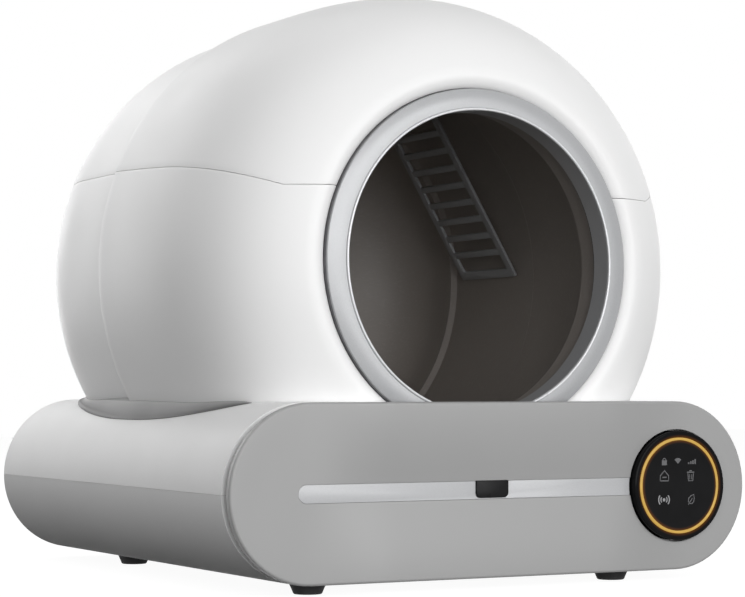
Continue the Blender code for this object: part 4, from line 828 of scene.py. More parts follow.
def bevelled(obj: Obj, width: float, segments: int = 2, angle: float = 40) -> Obj:
    """Rounds an object's sharp edges."""
    limits = {"limit_method": "ANGLE", "angle_limit": math.radians(angle), "use_clamp_overlap": True}
    return smooth(modified(obj, "BEVEL", width=width, segments=segments, **limits))


def weighted(obj: Obj) -> Obj:
    """Keeps the shading of large flat faces flat beside their rounded edges."""
    return modified(smooth(obj), "WEIGHTED_NORMAL", keep_sharp=True, weight=60)


def refined(node: str, name: str, edge: float = 0.0004, segments: int = 2) -> Obj:
    """A copy of a CAD node with merged faces and rounded edges.

    Args:
        node: the CAD node.
        name: the copy's name.
        edge: width of the rounding.
        segments: how many facets the rounding gets.

    Returns:
        The copy.
    """
    shape = bmesh.new()
    shape.from_mesh(bpy.data.objects[node].data)
    bmesh.ops.remove_doubles(shape, verts=shape.verts, dist=MERGE_DISTANCE)
    bmesh.ops.dissolve_limit(shape, angle_limit=math.radians(1), verts=shape.verts, edges=shape.edges)
    return bevelled(shaped(name, shape), edge, segments)


def joined(name: str, pieces: Sequence[Obj]) -> Obj:
    """Gathers the meshes of several objects in one object and removes them."""
    shape = bmesh.new()
    for piece in pieces:
        shape.from_mesh(piece.data)
        bpy.data.objects.remove(piece)
    return smooth(shaped(name, shape))


def dress(obj: Obj, coated: Coat, body: Body | str, *nodes: str) -> Obj:
    """Gives a finished piece its material, its body and the nodes that it replaces.

    Args:
        obj: the piece.
        coated: its material and the record's slot.
        body: the CAD body that it rides on.
        nodes: the CAD nodes that it stands for.

    Returns:
        The piece.
    """
    obj.data.materials.clear()
    obj.data.materials.append(coated.material)
    for polygon in obj.data.polygons:
        polygon.material_index = 0
    if nodes:
        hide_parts(*nodes)
    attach(obj, body.value if isinstance(body, Body) else body)
    LOG.info("%s: %d faces", obj.name, len(obj.data.polygons))
    return obj


def dress_copy(node: str, name: str, edge: float, coated: Coat, body: Body, segments: int = 2) -> Obj:
    """Dresses a refined copy of a CAD node, which it replaces."""
    return dress(refined(node, name, edge, segments), coated, body, node)


def middle_of(node: str) -> Vector:
    """Middle of a CAD node's box."""
    low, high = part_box(node)
    return (low + high) / 2


def turned_span(node: str) -> tuple[Flat, float, float]:
    """Axis along Y of a CAD node, and the distances of its front and rear end."""
    low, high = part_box(node)
    return ((low.x + high.x) / 2, (low.z + high.z) / 2), low.y - FRONT_Y, high.y - FRONT_Y


# Repeats


class Recipe:
    """A Geometry Nodes tree with named inputs."""

    def __init__(self, name: str, inputs: dict[str, str]) -> None:
        """Starts the tree.

        Args:
            name: the tree's name.
            inputs: kind of socket by input name. A material input is added.
        """
        self.tree = bpy.data.node_groups.new(name, "GeometryNodeTree")
        self.sockets: dict[str, str] = {}
        for label, kind in {**inputs, "Finish": "Material"}.items():
            socket = self.tree.interface.new_socket(name=label, in_out="INPUT", socket_type=f"NodeSocket{kind}")
            self.sockets[label] = socket.identifier
        self.tree.interface.new_socket(name="Geometry", in_out="OUTPUT", socket_type="NodeSocketGeometry")
        self.given = self.tree.nodes.new("NodeGroupInput").outputs
        self.result = self.tree.nodes.new("NodeGroupOutput")

    def node(self, kind: str, inputs: dict | None = None, **settings: object) -> bpy.types.Node:
        """Adds a node to the tree."""
        return add_node(self.tree, kind, inputs, **settings)

    def strewn(self, points: Socket, inputs: dict | None = None) -> Recipe:
        """Ends the tree with a copy of the piece on each point."""
        piece = self.node("GeometryNodeObjectInfo", {"Object": self.given["Piece"]}).outputs["Geometry"]
        inputs = {"Points": points, "Instance": piece, **(inputs or {})}
        return self.close(self.node("GeometryNodeInstanceOnPoints", inputs).outputs[0])

    def close(self, geometry: Socket) -> Recipe:
        """Ends the tree in Realize Instances and Set Material."""
        real = self.node("GeometryNodeRealizeInstances", {0: geometry}).outputs[0]
        painted = self.node("GeometryNodeSetMaterial", {"Geometry": real, "Material": self.given["Finish"]})
        self.tree.links.new(painted.outputs[0], self.result.inputs[0])
        return self

    def make(self, name: str, coated: Coat, **values: object) -> Obj:
        """Runs the tree once.

        Args:
            name: name of the new object.
            coated: its material.
            values: the tree's inputs, by name.

        Returns:
            A plain mesh object.
        """
        obj = placed(name, bpy.data.meshes.new(name))
        modifier = obj.modifiers.new("recipe", "NODES")
        modifier.node_group = self.tree
        for label, value in {**values, "Finish": coated.material}.items():
            modifier[self.sockets[label]] = value
        return smooth(settle(obj))


def line_recipe() -> Recipe:
    """Copies of an object along a straight line."""
    recipe = Recipe("row_along_line", {"Count": "Int", "Start": "Vector", "Step": "Vector", "Piece": "Object"})
    given = recipe.given
    inputs = {"Count": given["Count"], "Start Location": given["Start"], "Offset": given["Step"]}
    return recipe.strewn(recipe.node("GeometryNodeMeshLine", inputs, mode="OFFSET").outputs[0])


def ring_recipe() -> Recipe:
    """Copies of an object on a circle that stands across Y."""
    recipe = Recipe("row_round_circle", {"Count": "Int", "Radius": "Float", "Middle": "Vector", "Piece": "Object"})
    given = recipe.given
    ring = recipe.node("GeometryNodeMeshCircle", {"Vertices": given["Count"], "Radius": given["Radius"]}).outputs[0]
    turn = {"Geometry": ring, "Translation": given["Middle"], "Rotation": (math.pi / 2, 0, 0)}
    return recipe.strewn(recipe.node("GeometryNodeTransform", turn).outputs[0])


def coil_recipe() -> Recipe:
    """A coil spring along Y."""
    kinds = {"Turns": "Float", "Radius": "Float", "Length": "Float", "Wire": "Float", "Start": "Vector"}
    recipe = Recipe("coil_spring", kinds)
    given = recipe.given
    ends = {"Start Radius": given["Radius"], "End Radius": given["Radius"]}
    inputs = {"Resolution": 28, "Rotations": given["Turns"], "Height": given["Length"], **ends}
    spiral = recipe.node("GeometryNodeCurveSpiral", inputs).outputs[0]
    section = recipe.node("GeometryNodeCurvePrimitiveCircle", {"Resolution": 10, "Radius": given["Wire"]}).outputs[0]
    wire = recipe.node("GeometryNodeCurveToMesh", {"Curve": spiral, "Profile Curve": section, "Fill Caps": True})
    turn = {"Geometry": wire.outputs[0], "Translation": given["Start"], "Rotation": (-math.pi / 2, 0, 0)}
    return recipe.close(recipe.node("GeometryNodeTransform", turn).outputs[0])


def scatter_recipe() -> Recipe:
    """Small parts of random size on a grid, as on a circuit board."""
    kinds = {"Width": "Float", "Length": "Float", "Across": "Int", "Along": "Int", "Place": "Vector"}
    recipe = Recipe("board_parts", {**kinds, "Share": "Float", "Seed": "Int", "Piece": "Object"})
    given = recipe.given
    sizes = {"Size X": given["Width"], "Size Y": given["Length"]}
    inputs = {**sizes, "Vertices X": given["Across"], "Vertices Y": given["Along"]}
    grid = recipe.node("GeometryNodeMeshGrid", inputs).outputs[0]
    points = recipe.node("GeometryNodeTransform", {"Geometry": grid, "Translation": given["Place"]}).outputs[0]
    inputs = {"Probability": given["Share"], "Seed": given["Seed"]}
    chosen = recipe.node("FunctionNodeRandomValue", inputs, data_type="BOOLEAN").outputs[3]
    inputs = {0: (0.7, 0.7, 0.6), 1: (1.5, 1.9, 1.6), "Seed": given["Seed"]}
    size = recipe.node("FunctionNodeRandomValue", inputs, data_type="FLOAT_VECTOR").outputs[0]
    return recipe.strewn(points, {"Selection": chosen, "Scale": size})


class Recipes:
    """The trees that the sub-assemblies share."""

    def __init__(self) -> None:
        """Builds the trees."""
        self.line = line_recipe()
        self.ring = ring_recipe()
        self.coil = coil_recipe()
        self.scatter = scatter_recipe()


def repeat(recipe: Recipe, piece: Obj, name: str, coated: Coat, **values: object) -> Obj:
    """Repeats a hand-built piece by a recipe and removes the piece."""
    obj = recipe.make(name, coated, Piece=piece, **values)
    bpy.data.objects.remove(piece)
    return obj


def dress_repeat(recipe: Recipe, piece: Obj, name: str, coated: Coat, body: Body, **values: object) -> Obj:
    """Repeats a hand-built piece by a recipe and dresses the result."""
    return dress(repeat(recipe, piece, name, coated, **values), coated, body)


def pan_head(radius: float, height: float) -> Obj:
    """A pan-head screw with a cross slot, at the origin, its head towards -Y."""
    profile = [(0, -height), (radius * 0.6, -height), (radius * 0.9, -height * 0.7), (radius, -height * 0.2)]
    loops = [[(x, d, z) for x, z in circle(r, 20)] for r, d in profile + [(radius, 0), (0, 0)]]
    head = loft("screw_head", loops, ends=False)
    half, wide = radius * 0.55, radius * 0.13
    slots = [
        block("slot", (-half, -height * 2, -wide), (half, -height * 0.45, wide)),
        block("slot", (-wide, -height * 2, -half), (wide, -height * 0.45, half)),
    ]
    return carve(head, *slots)


# Sub-assemblies


@dataclass
class Globe:
    """The casing's outer form: a swollen solid of revolution about the drum's axis."""

    radius: float = 0.2687
    waist: float = 0.2793
    front_reach: float = 0.2612
    front_power: float = 3.58
    crease: float = 0.3175
    rear_radius: float = 0.2619
    shoulder: float = 0.4091
    rear_reach: float = 0.1659
    rear_power: float = 2.6
    easing: float = 0.13

    def front_at(self, radius: float) -> float:
        """Distance at which the front curve has a radius."""
        return self.waist - self.front_reach * swell(radius / self.radius, self.front_power)

    def rear_at(self, radius: float) -> float:
        """Distance at which the rear curve has a radius."""
        return self.shoulder + self.rear_reach * swell(radius / self.rear_radius, self.rear_power)

    def front_radius(self, distance: float) -> float:
        """Radius of the front curve at a distance."""
        return self.radius * swell(max(self.waist - distance, 0) / self.front_reach, self.front_power)

    def behind_radius(self, distance: float) -> float:
        """Radius of the rear curve at a distance."""
        return self.rear_radius * swell(max(distance - self.shoulder, 0) / self.rear_reach, self.rear_power)

    def radius_at(self, distance: float) -> float:
        """The globe's outer radius at a distance behind the front."""
        return self.front_radius(distance) if distance < self.crease else self.behind_radius(distance)

    def eased_radius_at(self, distance: float) -> float:
        """The globe's radius, with the step at its crease drawn out behind it."""
        before = self.front_radius(distance)
        return before + (self.behind_radius(distance) - before) * eased((distance - self.crease) / self.easing)

    def bulge(
        self, radius: float, power: float, start: float, steps: int, marks: Sequence[float] = ()
    ) -> list[float]:
        """Radii along a rounded end, close together where it turns.

        Args:
            radius: the full radius.
            power: the curve's power.
            start: the smallest radius.
            steps: how many steps there are.
            marks: radii that have to be among them.

        Returns:
            Radii from the smallest to the full one.
        """
        radii = [radius * math.sin(t) ** (2 / power) for t in swell_turns(start / radius, power, steps)]
        radii += [mark for mark in marks if start < mark < radius]
        return sorted(radii)

    def cutter(self, name: str, grown: float, start: float = 0.163) -> Obj:
        """The globe's form with a clearance, flat at the front."""
        radii = self.bulge(self.radius, self.front_power, start, 24)
        front = [(r + grown, self.front_at(r) - grown) for r in radii]
        front.insert(0, (0, front[0][1]))
        front += [(self.radius + grown, self.crease + grown), (self.rear_radius + grown, self.crease + 2 * grown)]
        rear = self.bulge(self.rear_radius, self.rear_power, 0, 24)
        front += [(r + grown if r else 0, self.rear_at(r) + grown) for r in reversed(rear)]
        return lathe(name, front, 160, closed=False)


@dataclass
class Base:
    """The pill-shaped base: upper body, lower tray, globe seat and feet."""

    width: float = 0.549
    height: float = 0.160
    depth: float = 0.580
    wall: float = 0.003
    middle_z: float = 0.090
    parting: float = 0.00024
    front_at: float = 0.017
    rear_round: float = 0.010
    ledge_z: float = 0.129
    ledge: float = 0.004
    steps: int = 36
    globe: Globe = field(default_factory=Globe)
    seat_reach: float = 0.0198
    seat_height: float = 0.0115
    seat_front: float = math.radians(46)
    seat_half: Span = (0.2457, 0.354)
    seat_power: float = 2.5
    seat_middle: float = 0.29655
    seat_sides: int = 176
    seat_fit: float = 0.0003
    seat_lip: float = 0.0018
    seat_rear_lip: float = 0.0030
    seat_rear_drop: float = 0.24
    seat_rear_turn: float = 92.0
    seat_rear_ease: float = 36.0
    seat_blend_power: float = 160.0
    drum_way_half: float = 0.1454
    drum_way_at: Span = (0.059, 0.5453)
    doorway_x: Span = (-0.194, 0.134)
    doorway_z: Span = (0.015, 0.1)
    inlet: Flat = (0.200, 0.060)
    post_x: Span = (0.154, 0.212)
    post_at: Span = (0.128, 0.262)

    def pill(self, inset: float = 0, side: int = 0) -> list[Flat]:
        """The base's cross-section, or its upper (1) or lower (-1) half, drawn in by an inset."""
        radius = self.height / 2 - inset
        reach = (self.width - self.height) / 2
        start = math.degrees(math.asin(self.parting / 2 / radius)) if side else -90
        right = arc(radius, start, 90, self.steps, (reach, 0))
        left = arc(radius, 90, 180 - start, self.steps, (-reach, 0))
        turn = side or 1
        return [(x, self.middle_z + turn * z) for x, z in right + left]

    def rows(self, side: int) -> list[list[Point]]:
        """Cross-sections of a half from its front edge to its round rear edge."""
        edge = [(0.0007, 0), (0.0002, 0.0002), (0, 0.0007)]
        loops = [stand(self.pill(inset, side), self.front_at + at) for inset, at in edge]
        for inset, left in quarter(8):
            loops.append(stand(self.pill(self.rear_round * inset, side), self.depth - self.rear_round * left))
        return loops

    def hollow(self) -> Obj:
        """The space inside the base."""
        loops = [stand(self.pill(self.wall), self.front_at + self.wall)]
        inner = self.rear_round - self.wall
        for inset, left in quarter(6):
            loops.append(stand(self.pill(self.wall + inner * inset), self.depth - self.wall - inner * left))
        return loft("base_hollow", loops)

    def upper_body(self) -> Obj:
        """Upper moulding with the globe's opening, the ledge and the drum's way."""
        body = carve(loft("upper_body", self.rows(1)), self.hollow())
        opening = self.globe.cutter("globe_opening", 0.0006)
        above = block("above_ledge", (-0.5, FRONT_Y, self.ledge_z), (0.5, FRONT_Y + 0.6, 0.7))
        carve(opening, above, operation="INTERSECT")
        carve(body, opening)
        half = math.sqrt((self.height / 2 - self.wall / 2) ** 2 - (self.ledge_z - self.middle_z) ** 2)
        half += (self.width - self.height) / 2
        low = (-half, FRONT_Y + self.front_at + self.wall / 2, self.ledge_z - self.ledge)
        high = (half, FRONT_Y + self.depth - self.wall / 2, self.ledge_z)
        carve(body, block("ledge", low, high), operation="UNION")
        wide, (start, end) = self.drum_way_half, self.drum_way_at
        low = (-wide, FRONT_Y + start, self.ledge_z - 0.02)
        way = block("drum_way", low, (wide, FRONT_Y + end, self.ledge_z + 0.01))
        rod = prism("rod_hole", circle(0.0035, 32, (TAB_X, TAB_ROD_Z)), 0.016, 0.021)
        return weighted(carve(body, way, rod))

    def lower_tray(self) -> Obj:
        """Lower moulding with the drawer's doorway, board posts and the power inlet's hole."""
        tray = carve(loft("lower_tray", self.rows(-1)), self.hollow())
        (left, right), (sill, top) = self.doorway_x, self.doorway_z
        door = block("doorway", (left, FRONT_Y, sill), (right, FRONT_Y + 0.025, top))
        carve(tray, door, prism("inlet_hole", circle(0.0068, 48, self.inlet), 0.56, 0.6))
        for x in self.post_x:
            for at in self.post_at:
                rows = [(circle(radius, 24, (x, 0)), z) for radius, z in ((0.0045, 0.0115), (0.004, 0.024))]
                carve(tray, layered("board_post", rows, (0, FRONT_Y + at, 0)), operation="UNION")
        return weighted(tray)

    def deck_z(self, x: float) -> float:
        """Height of the base's outer surface at a place across it."""
        radius = self.height / 2
        over = max(abs(x) - (self.width - self.height) / 2, 0)
        return self.middle_z + math.sqrt(max(radius**2 - over**2, 0))

    def seat_distance(self, heading: float, raised: float, radius_at: Callable[[float], float]) -> float:
        """How far from the seat's middle a globe passes through the raised deck.

        Args:
            heading: direction from the middle, zero towards the front.
            raised: height above the deck.
            radius_at: the globe's radius at a distance behind the front.

        Returns:
            The distance.
        """
        low, high = 0.0, self.depth
        for _ in range(36):
            out = (low + high) / 2
            x = out * math.sin(heading)
            radius = radius_at(self.seat_middle - out * math.cos(heading))
            inside = math.hypot(x, self.deck_z(x) + raised - AXIS_Z) < radius
            low, high = (out, high) if inside else (low, out)
        return low

    def seat_fade(self, heading: float) -> float:
        """Share of the seat's full size at a heading."""
        if math.cos(heading) < 0:
            return max(abs(math.sin(heading)), 0.25)
        turn = math.asin(abs(math.sin(heading)))
        along = (turn - self.seat_front) / (math.pi / 2 - self.seat_front)
        return max(math.sqrt(max(math.sin(along * math.pi / 2), 0)), 0.05)

    def seat_rise(self, heading: float) -> tuple[float, float]:
        """Heights of the seat's crest and of its lip: lower crest and taller lip round the back."""
        turn = math.degrees(math.acos(math.cos(heading)))
        rear = eased((turn - self.seat_rear_turn) / self.seat_rear_ease)
        fade = self.seat_fade(heading)
        crest = self.seat_height * fade * (1 - self.seat_rear_drop * rear)
        return crest, (self.seat_lip + self.seat_rear_lip * rear) * fade

    def seat_toe(self, heading: float) -> float:
        """How far the seat's outer edge lies from its middle: round the sides, and near the globe elsewhere."""
        across, along = self.seat_half
        power = self.seat_power
        shares = (abs(math.sin(heading)) / across) ** power + (abs(math.cos(heading)) / along) ** power
        near = self.seat_distance(heading, 0, self.globe.eased_radius_at) + 0.0007
        near += self.seat_reach * self.seat_fade(heading)
        # A high power gives the smaller of the two, with a soft change from one to the other.
        blend = self.seat_blend_power
        return (shares ** (blend / power) + near**-blend) ** (-1 / blend)

    def seat_section(self, heading: float) -> list[Point]:
        """One cross-section: along the deck, over the lip, up the hollow flank, down the globe."""
        height, lip = self.seat_rise(heading)
        rises = [height * share for share in shares(6)]
        inner = [self.seat_distance(heading, rise, self.globe.radius_at) + self.seat_fit for rise in rises]
        foot, crest = inner[0], inner[-1]
        toe = self.seat_toe(heading)
        section = [(foot + (toe - foot) * share, 0.0002) for share in shares(6)]
        section += [(toe - 0.0004, lip * 0.2), (toe, lip * 0.5), (toe - 0.0005, lip * 0.8)]
        top = max(crest, self.seat_distance(heading, height, self.globe.eased_radius_at)) + self.seat_fit
        brink = toe - 0.0012
        for share in shares(14)[1:]:
            dip = 0.22 * lip * math.sin(math.pi * share)
            section.append((brink - (brink - top) * share, lip + (height - lip) * share**1.8 - dip))
        section += [(out, rise) for out, rise in zip(reversed(inner), reversed(rises))][:-1]
        points = []
        for out, up in section:
            x = out * math.sin(heading)
            points.append((x, FRONT_Y + self.seat_middle - out * math.cos(heading), self.deck_z(x) + up))
        return points

    def seat(self) -> Obj:
        """Flared seat round the globe, open at the front."""
        span = 2 * math.pi - 2 * self.seat_front
        turns = [self.seat_front + span * i / self.seat_sides for i in range(self.seat_sides + 1)]
        seat = loft("globe_seat", [self.seat_section(turn) for turn in turns])
        # Each point's rise share, from the lip up to the crest, sets how much painted shade the seat gets there.
        rise = seat.data.attributes.new("rise", "FLOAT", "POINT")
        for vertex, value in zip(seat.data.vertices, rise.data):
            x, y, z = vertex.co
            height, lip = self.seat_rise(math.atan2(x, FRONT_Y + self.seat_middle - y))
            value.value = (z - self.deck_z(x) - lip) / (height - lip)
        return seat

    def foot(self, node: str) -> Obj:
        """A rubber foot with a rounded sole and a hollow in it."""
        middle = middle_of(node)
        profile = [(0, 0.0022), (0.0080, 0.0018), (0.0098, 0.0), (0.0122, 0.0), (0.0131, 0.0008), (0.0138, 0.0026)]
        profile += [(0.0152, 0.0058), (0.0166, 0.0088), (0.0175, 0.0094), (0.0175, 0.0097), (0, 0.0097)]
        return spindle(node.replace("foot", "foot_pad"), profile, 48, (middle.x, middle.y, 0))

    def make(self, finishes: Finishes) -> None:
        """Builds and dresses the base."""
        dress(self.upper_body(), finishes.light_grey, Body.BASE, "base_upper_body")
        dress(self.lower_tray(), finishes.tray_grey, Body.BASE, "base_lower_tray")
        dress(self.seat(), finishes.seat, Body.BASE, "globe_seat_collar")
        for place in CORNERS:
            dress(self.foot(f"foot_{place}"), finishes.rubber, Body.BASE, f"foot_{place}")
        for side in ("left", "right"):
            name = f"slide_rail_{side}"
            dress_copy(f"drawer_rail_{side}", name, 0.0005, finishes.steel, Body.BASE)


@dataclass
class Casing:
    """The globe's four mouldings and the entrance ring."""

    globe: Globe = field(default_factory=Globe)
    wall: float = 0.003
    foot_z: float = 0.1296
    front_angle: float = math.radians(71.8)
    crease_angle: float = math.radians(69.1)
    rear_angle: float = math.radians(68.6)
    level_edge: float = 0.0650
    corner_at: float = 0.0532
    half_seam: float = 0.00028
    columns: int = 96
    roll_radius: float = 0.1765
    roll_blend: float = 0.003
    roll_margin: float = 0.012
    crease_round: float = 0.0016
    neck_radius: float = 0.1605
    neck_at: float = 0.0495
    neck_turn: float = 62.0
    ring_sides: int = 192

    def roll_at(self, radius: float) -> float:
        """Distance of the outer face near the ring, where the roll meets the globe's curve."""
        globe = self.globe
        start = globe.front_at(self.roll_radius)
        share = held((self.roll_radius - radius) / (self.roll_radius - self.neck_radius))
        rolled = self.neck_at - (self.neck_at - start) * math.sqrt(1 - share * share)
        plain = globe.front_at(radius)
        near = max(1 - abs(rolled - plain) / self.roll_blend, 0)
        return max(rolled, plain) + near * near * self.roll_blend / 4

    def front_rows(self) -> list[Flat]:
        """Radius and distance along the front moulding, from the neck to its rear edge."""
        globe = self.globe
        blend_end = self.roll_radius + self.roll_margin
        rows = []
        for i in range(16):
            turn = math.radians(self.neck_turn * (1 - i / 16))
            radius = self.roll_radius - (self.roll_radius - self.neck_radius) * math.sin(turn)
            rows.append((radius, self.roll_at(radius)))
        for i in range(8):
            radius = self.roll_radius + (blend_end - self.roll_radius) * i / 8
            rows.append((radius, self.roll_at(radius)))
        corner = self.level_edge / math.cos(self.front_angle)
        radii = globe.bulge(globe.radius, globe.front_power, blend_end, 40, [corner])
        rows += [(radius, globe.front_at(radius)) for radius in radii]
        edge = self.crease_round
        rows += [(globe.radius, globe.waist + (globe.crease - edge - globe.waist) * i / 4) for i in range(1, 5)]
        rows += [(globe.radius - edge * inset, globe.crease - edge * left) for inset, left in quarter(4)[1:]]
        rows.append((globe.rear_radius - 0.0008, globe.crease))
        return rows

    def rear_rows(self) -> list[Flat]:
        """Radius and distance along the rear moulding, from the crease to the pole."""
        globe, level = self.globe, self.level_edge
        start = globe.crease + FIT
        rows = [(globe.rear_radius, start + (globe.shoulder - globe.crease - FIT) * i / 8) for i in range(9)]
        marks = [level / math.cos(self.rear_angle), level + self.half_seam, level - self.half_seam]
        radii = globe.bulge(globe.rear_radius, globe.rear_power, 0, 44, marks)
        return rows + [(radius, globe.rear_at(radius)) for radius in reversed(radii)][1:]

    def seam_angle(self, radius: float, distance: float, side: int) -> float:
        """Angle from the top to the seam's edge.

        Args:
            radius: radius of the row.
            distance: distance of the row behind the front.
            side: 1 for the cover's edge, -1 for the lower moulding's.

        Returns:
            The angle in radians.
        """
        share = held((distance - self.corner_at) / (self.globe.crease - self.corner_at))
        tilt = self.front_angle + (self.crease_angle - self.front_angle) * share
        if distance > self.globe.crease:
            tilt = self.rear_angle
        if radius * math.cos(tilt) >= self.level_edge:
            return tilt - side * self.half_seam / radius
        level = self.level_edge + side * self.half_seam
        return math.acos(min(level / radius, 1)) if radius > 0 else 0.0

    def shell(self, name: str, rows: Sequence[Flat], spans: Callable[[float, float], list[Span]]) -> Obj:
        """A moulding made of rows that run between angles.

        Args:
            name: the object's name.
            rows: radius and distance of each row.
            spans: the first and last angle of each part of a row, for its radius and distance.

        Returns:
            The moulding with its wall.
        """
        points: list[Point] = []
        faces: list[tuple[int, ...]] = []
        count = self.columns
        for part in range(len(spans(*rows[0]))):
            first = len(points)
            for radius, at in rows:
                start, end = spans(radius, at)[part]
                for j in range(count + 1):
                    turn = start + (end - start) * j / count
                    points.append((radius * math.sin(turn), FRONT_Y + at, AXIS_Z + radius * math.cos(turn)))
            for i in range(len(rows) - 1):
                for j in range(count):
                    a = first + i * (count + 1) + j
                    b = a + count + 1
                    faces.append((a, a + 1, b + 1, b))
        obj = mesh_object(name, points, faces, closed=False)
        modified(obj, "SOLIDIFY", thickness=self.wall, offset=-1, use_even_offset=True)
        return bevelled(obj, 0.0004, 2, 50)

    def cover_span(self, radius: float, distance: float) -> list[Span]:
        """Angles of a cover's row."""
        edge = self.seam_angle(radius, distance, 1)
        return [(-edge, edge)]

    def lower_span(self, radius: float, distance: float) -> list[Span]:
        """Angles of a lower moulding's row, right half and left half."""
        edge = self.seam_angle(radius, distance, -1)
        drop = AXIS_Z - self.foot_z
        foot = math.acos(-drop / radius) if radius > drop else math.pi
        return [(edge, foot), (2 * math.pi - foot, 2 * math.pi - edge)]

    def ring(self) -> Obj:
        """Entrance ring: a slightly crowned face, its sleeve and its flange."""
        profile = [(0.1407, 0.058), (0.1407, 0.0350), (0.1432, 0.0345)]
        for share in shares(12):
            crown = 0.0009 * math.sin(math.pi * share)
            profile.append((0.1436 + 0.0166 * share, 0.0341 + 0.0027 * share - crown))
        profile += [(0.1609, 0.0371), (0.1613, 0.0377), (0.1614, 0.0384), (0.1614, 0.0465), (0.168, 0.0465)]
        profile += [(0.168, 0.0487), (0.1584, 0.0487), (0.1584, 0.0400), (0.1437, 0.0370), (0.1437, 0.058)]
        return lathe("entrance_trim_ring", profile, self.ring_sides)

    def lip(self) -> Obj:
        """Bead along the ring's inner edge, in a lighter silver that paints the highlight along it."""
        return lathe("entrance_ring_lip", circle(0.0013, 14, (0.1420, 0.0339)), self.ring_sides)

    def gap_shadow_band(self) -> Obj:
        """Dark band round the ring's side, in the gap beside the shell: a painted shadow where the gap is in shade.
        """
        profile = [(0.16145, 0.0390), (0.1617, 0.0391), (0.1619, 0.0394), (0.1619, 0.0452), (0.1629, 0.0457)]
        profile += [(0.1629, 0.0464), (0.16145, 0.0464)]
        return lathe("entrance_ring_gasket", profile, self.ring_sides)

    def seal(self) -> Obj:
        """Soft seal with three lips, between the ring's sleeve and the drum's mouth."""
        _, start, end = turned_span("entrance_seal")
        inner, outer = 0.1441, 0.1499
        profile = [(inner, end), (inner, start)]
        pitch = (end - start) / 3
        for i in range(3):
            at = start + i * pitch
            profile += [(outer - 0.0012, at), (outer, at + pitch * 0.35), (outer, at + pitch * 0.6)]
            profile.append((inner + 0.002, at + pitch * 0.95))
        profile[-1] = (outer - 0.001, end)
        return lathe("drum_mouth_seal", profile, 128)

    def make(self, finishes: Finishes) -> None:
        """Builds and dresses the casing."""
        front, rear = self.front_rows(), self.rear_rows()
        top_rear = [row for row in rear if row[0] >= self.level_edge + self.half_seam - 1e-9]
        # The rear shells take the lighter white, which paints light on the rear dome.
        white, pale = finishes.white_front, finishes.white_rear_painted_light
        shells = (
            ("cover_front", "cover_front_shell", front, self.cover_span, white, Body.COVER),
            ("cover_rear", "cover_rear_shell", top_rear, self.cover_span, pale, Body.COVER),
            ("casing_front_lower", "casing_front_shell", front, self.lower_span, white, Body.BASE),
            ("casing_rear_lower", "casing_rear_shell", rear, self.lower_span, pale, Body.BASE),
        )
        for node, name, rows, spans, finish, body in shells:
            dress(self.shell(name, rows, spans), finish, body, node)
        dress(self.ring(), finishes.silver, Body.BASE, "entrance_ring")
        # The lip's lighter silver paints its highlight.
        dress(self.lip(), finishes.painted_highlight, Body.BASE)
        # The dark band in the ring's gap is painted shadow.
        dress(self.gap_shadow_band(), finishes.gap_shadow_band, Body.BASE)
        dress(self.seal(), finishes.seal, Body.BASE, "entrance_seal")


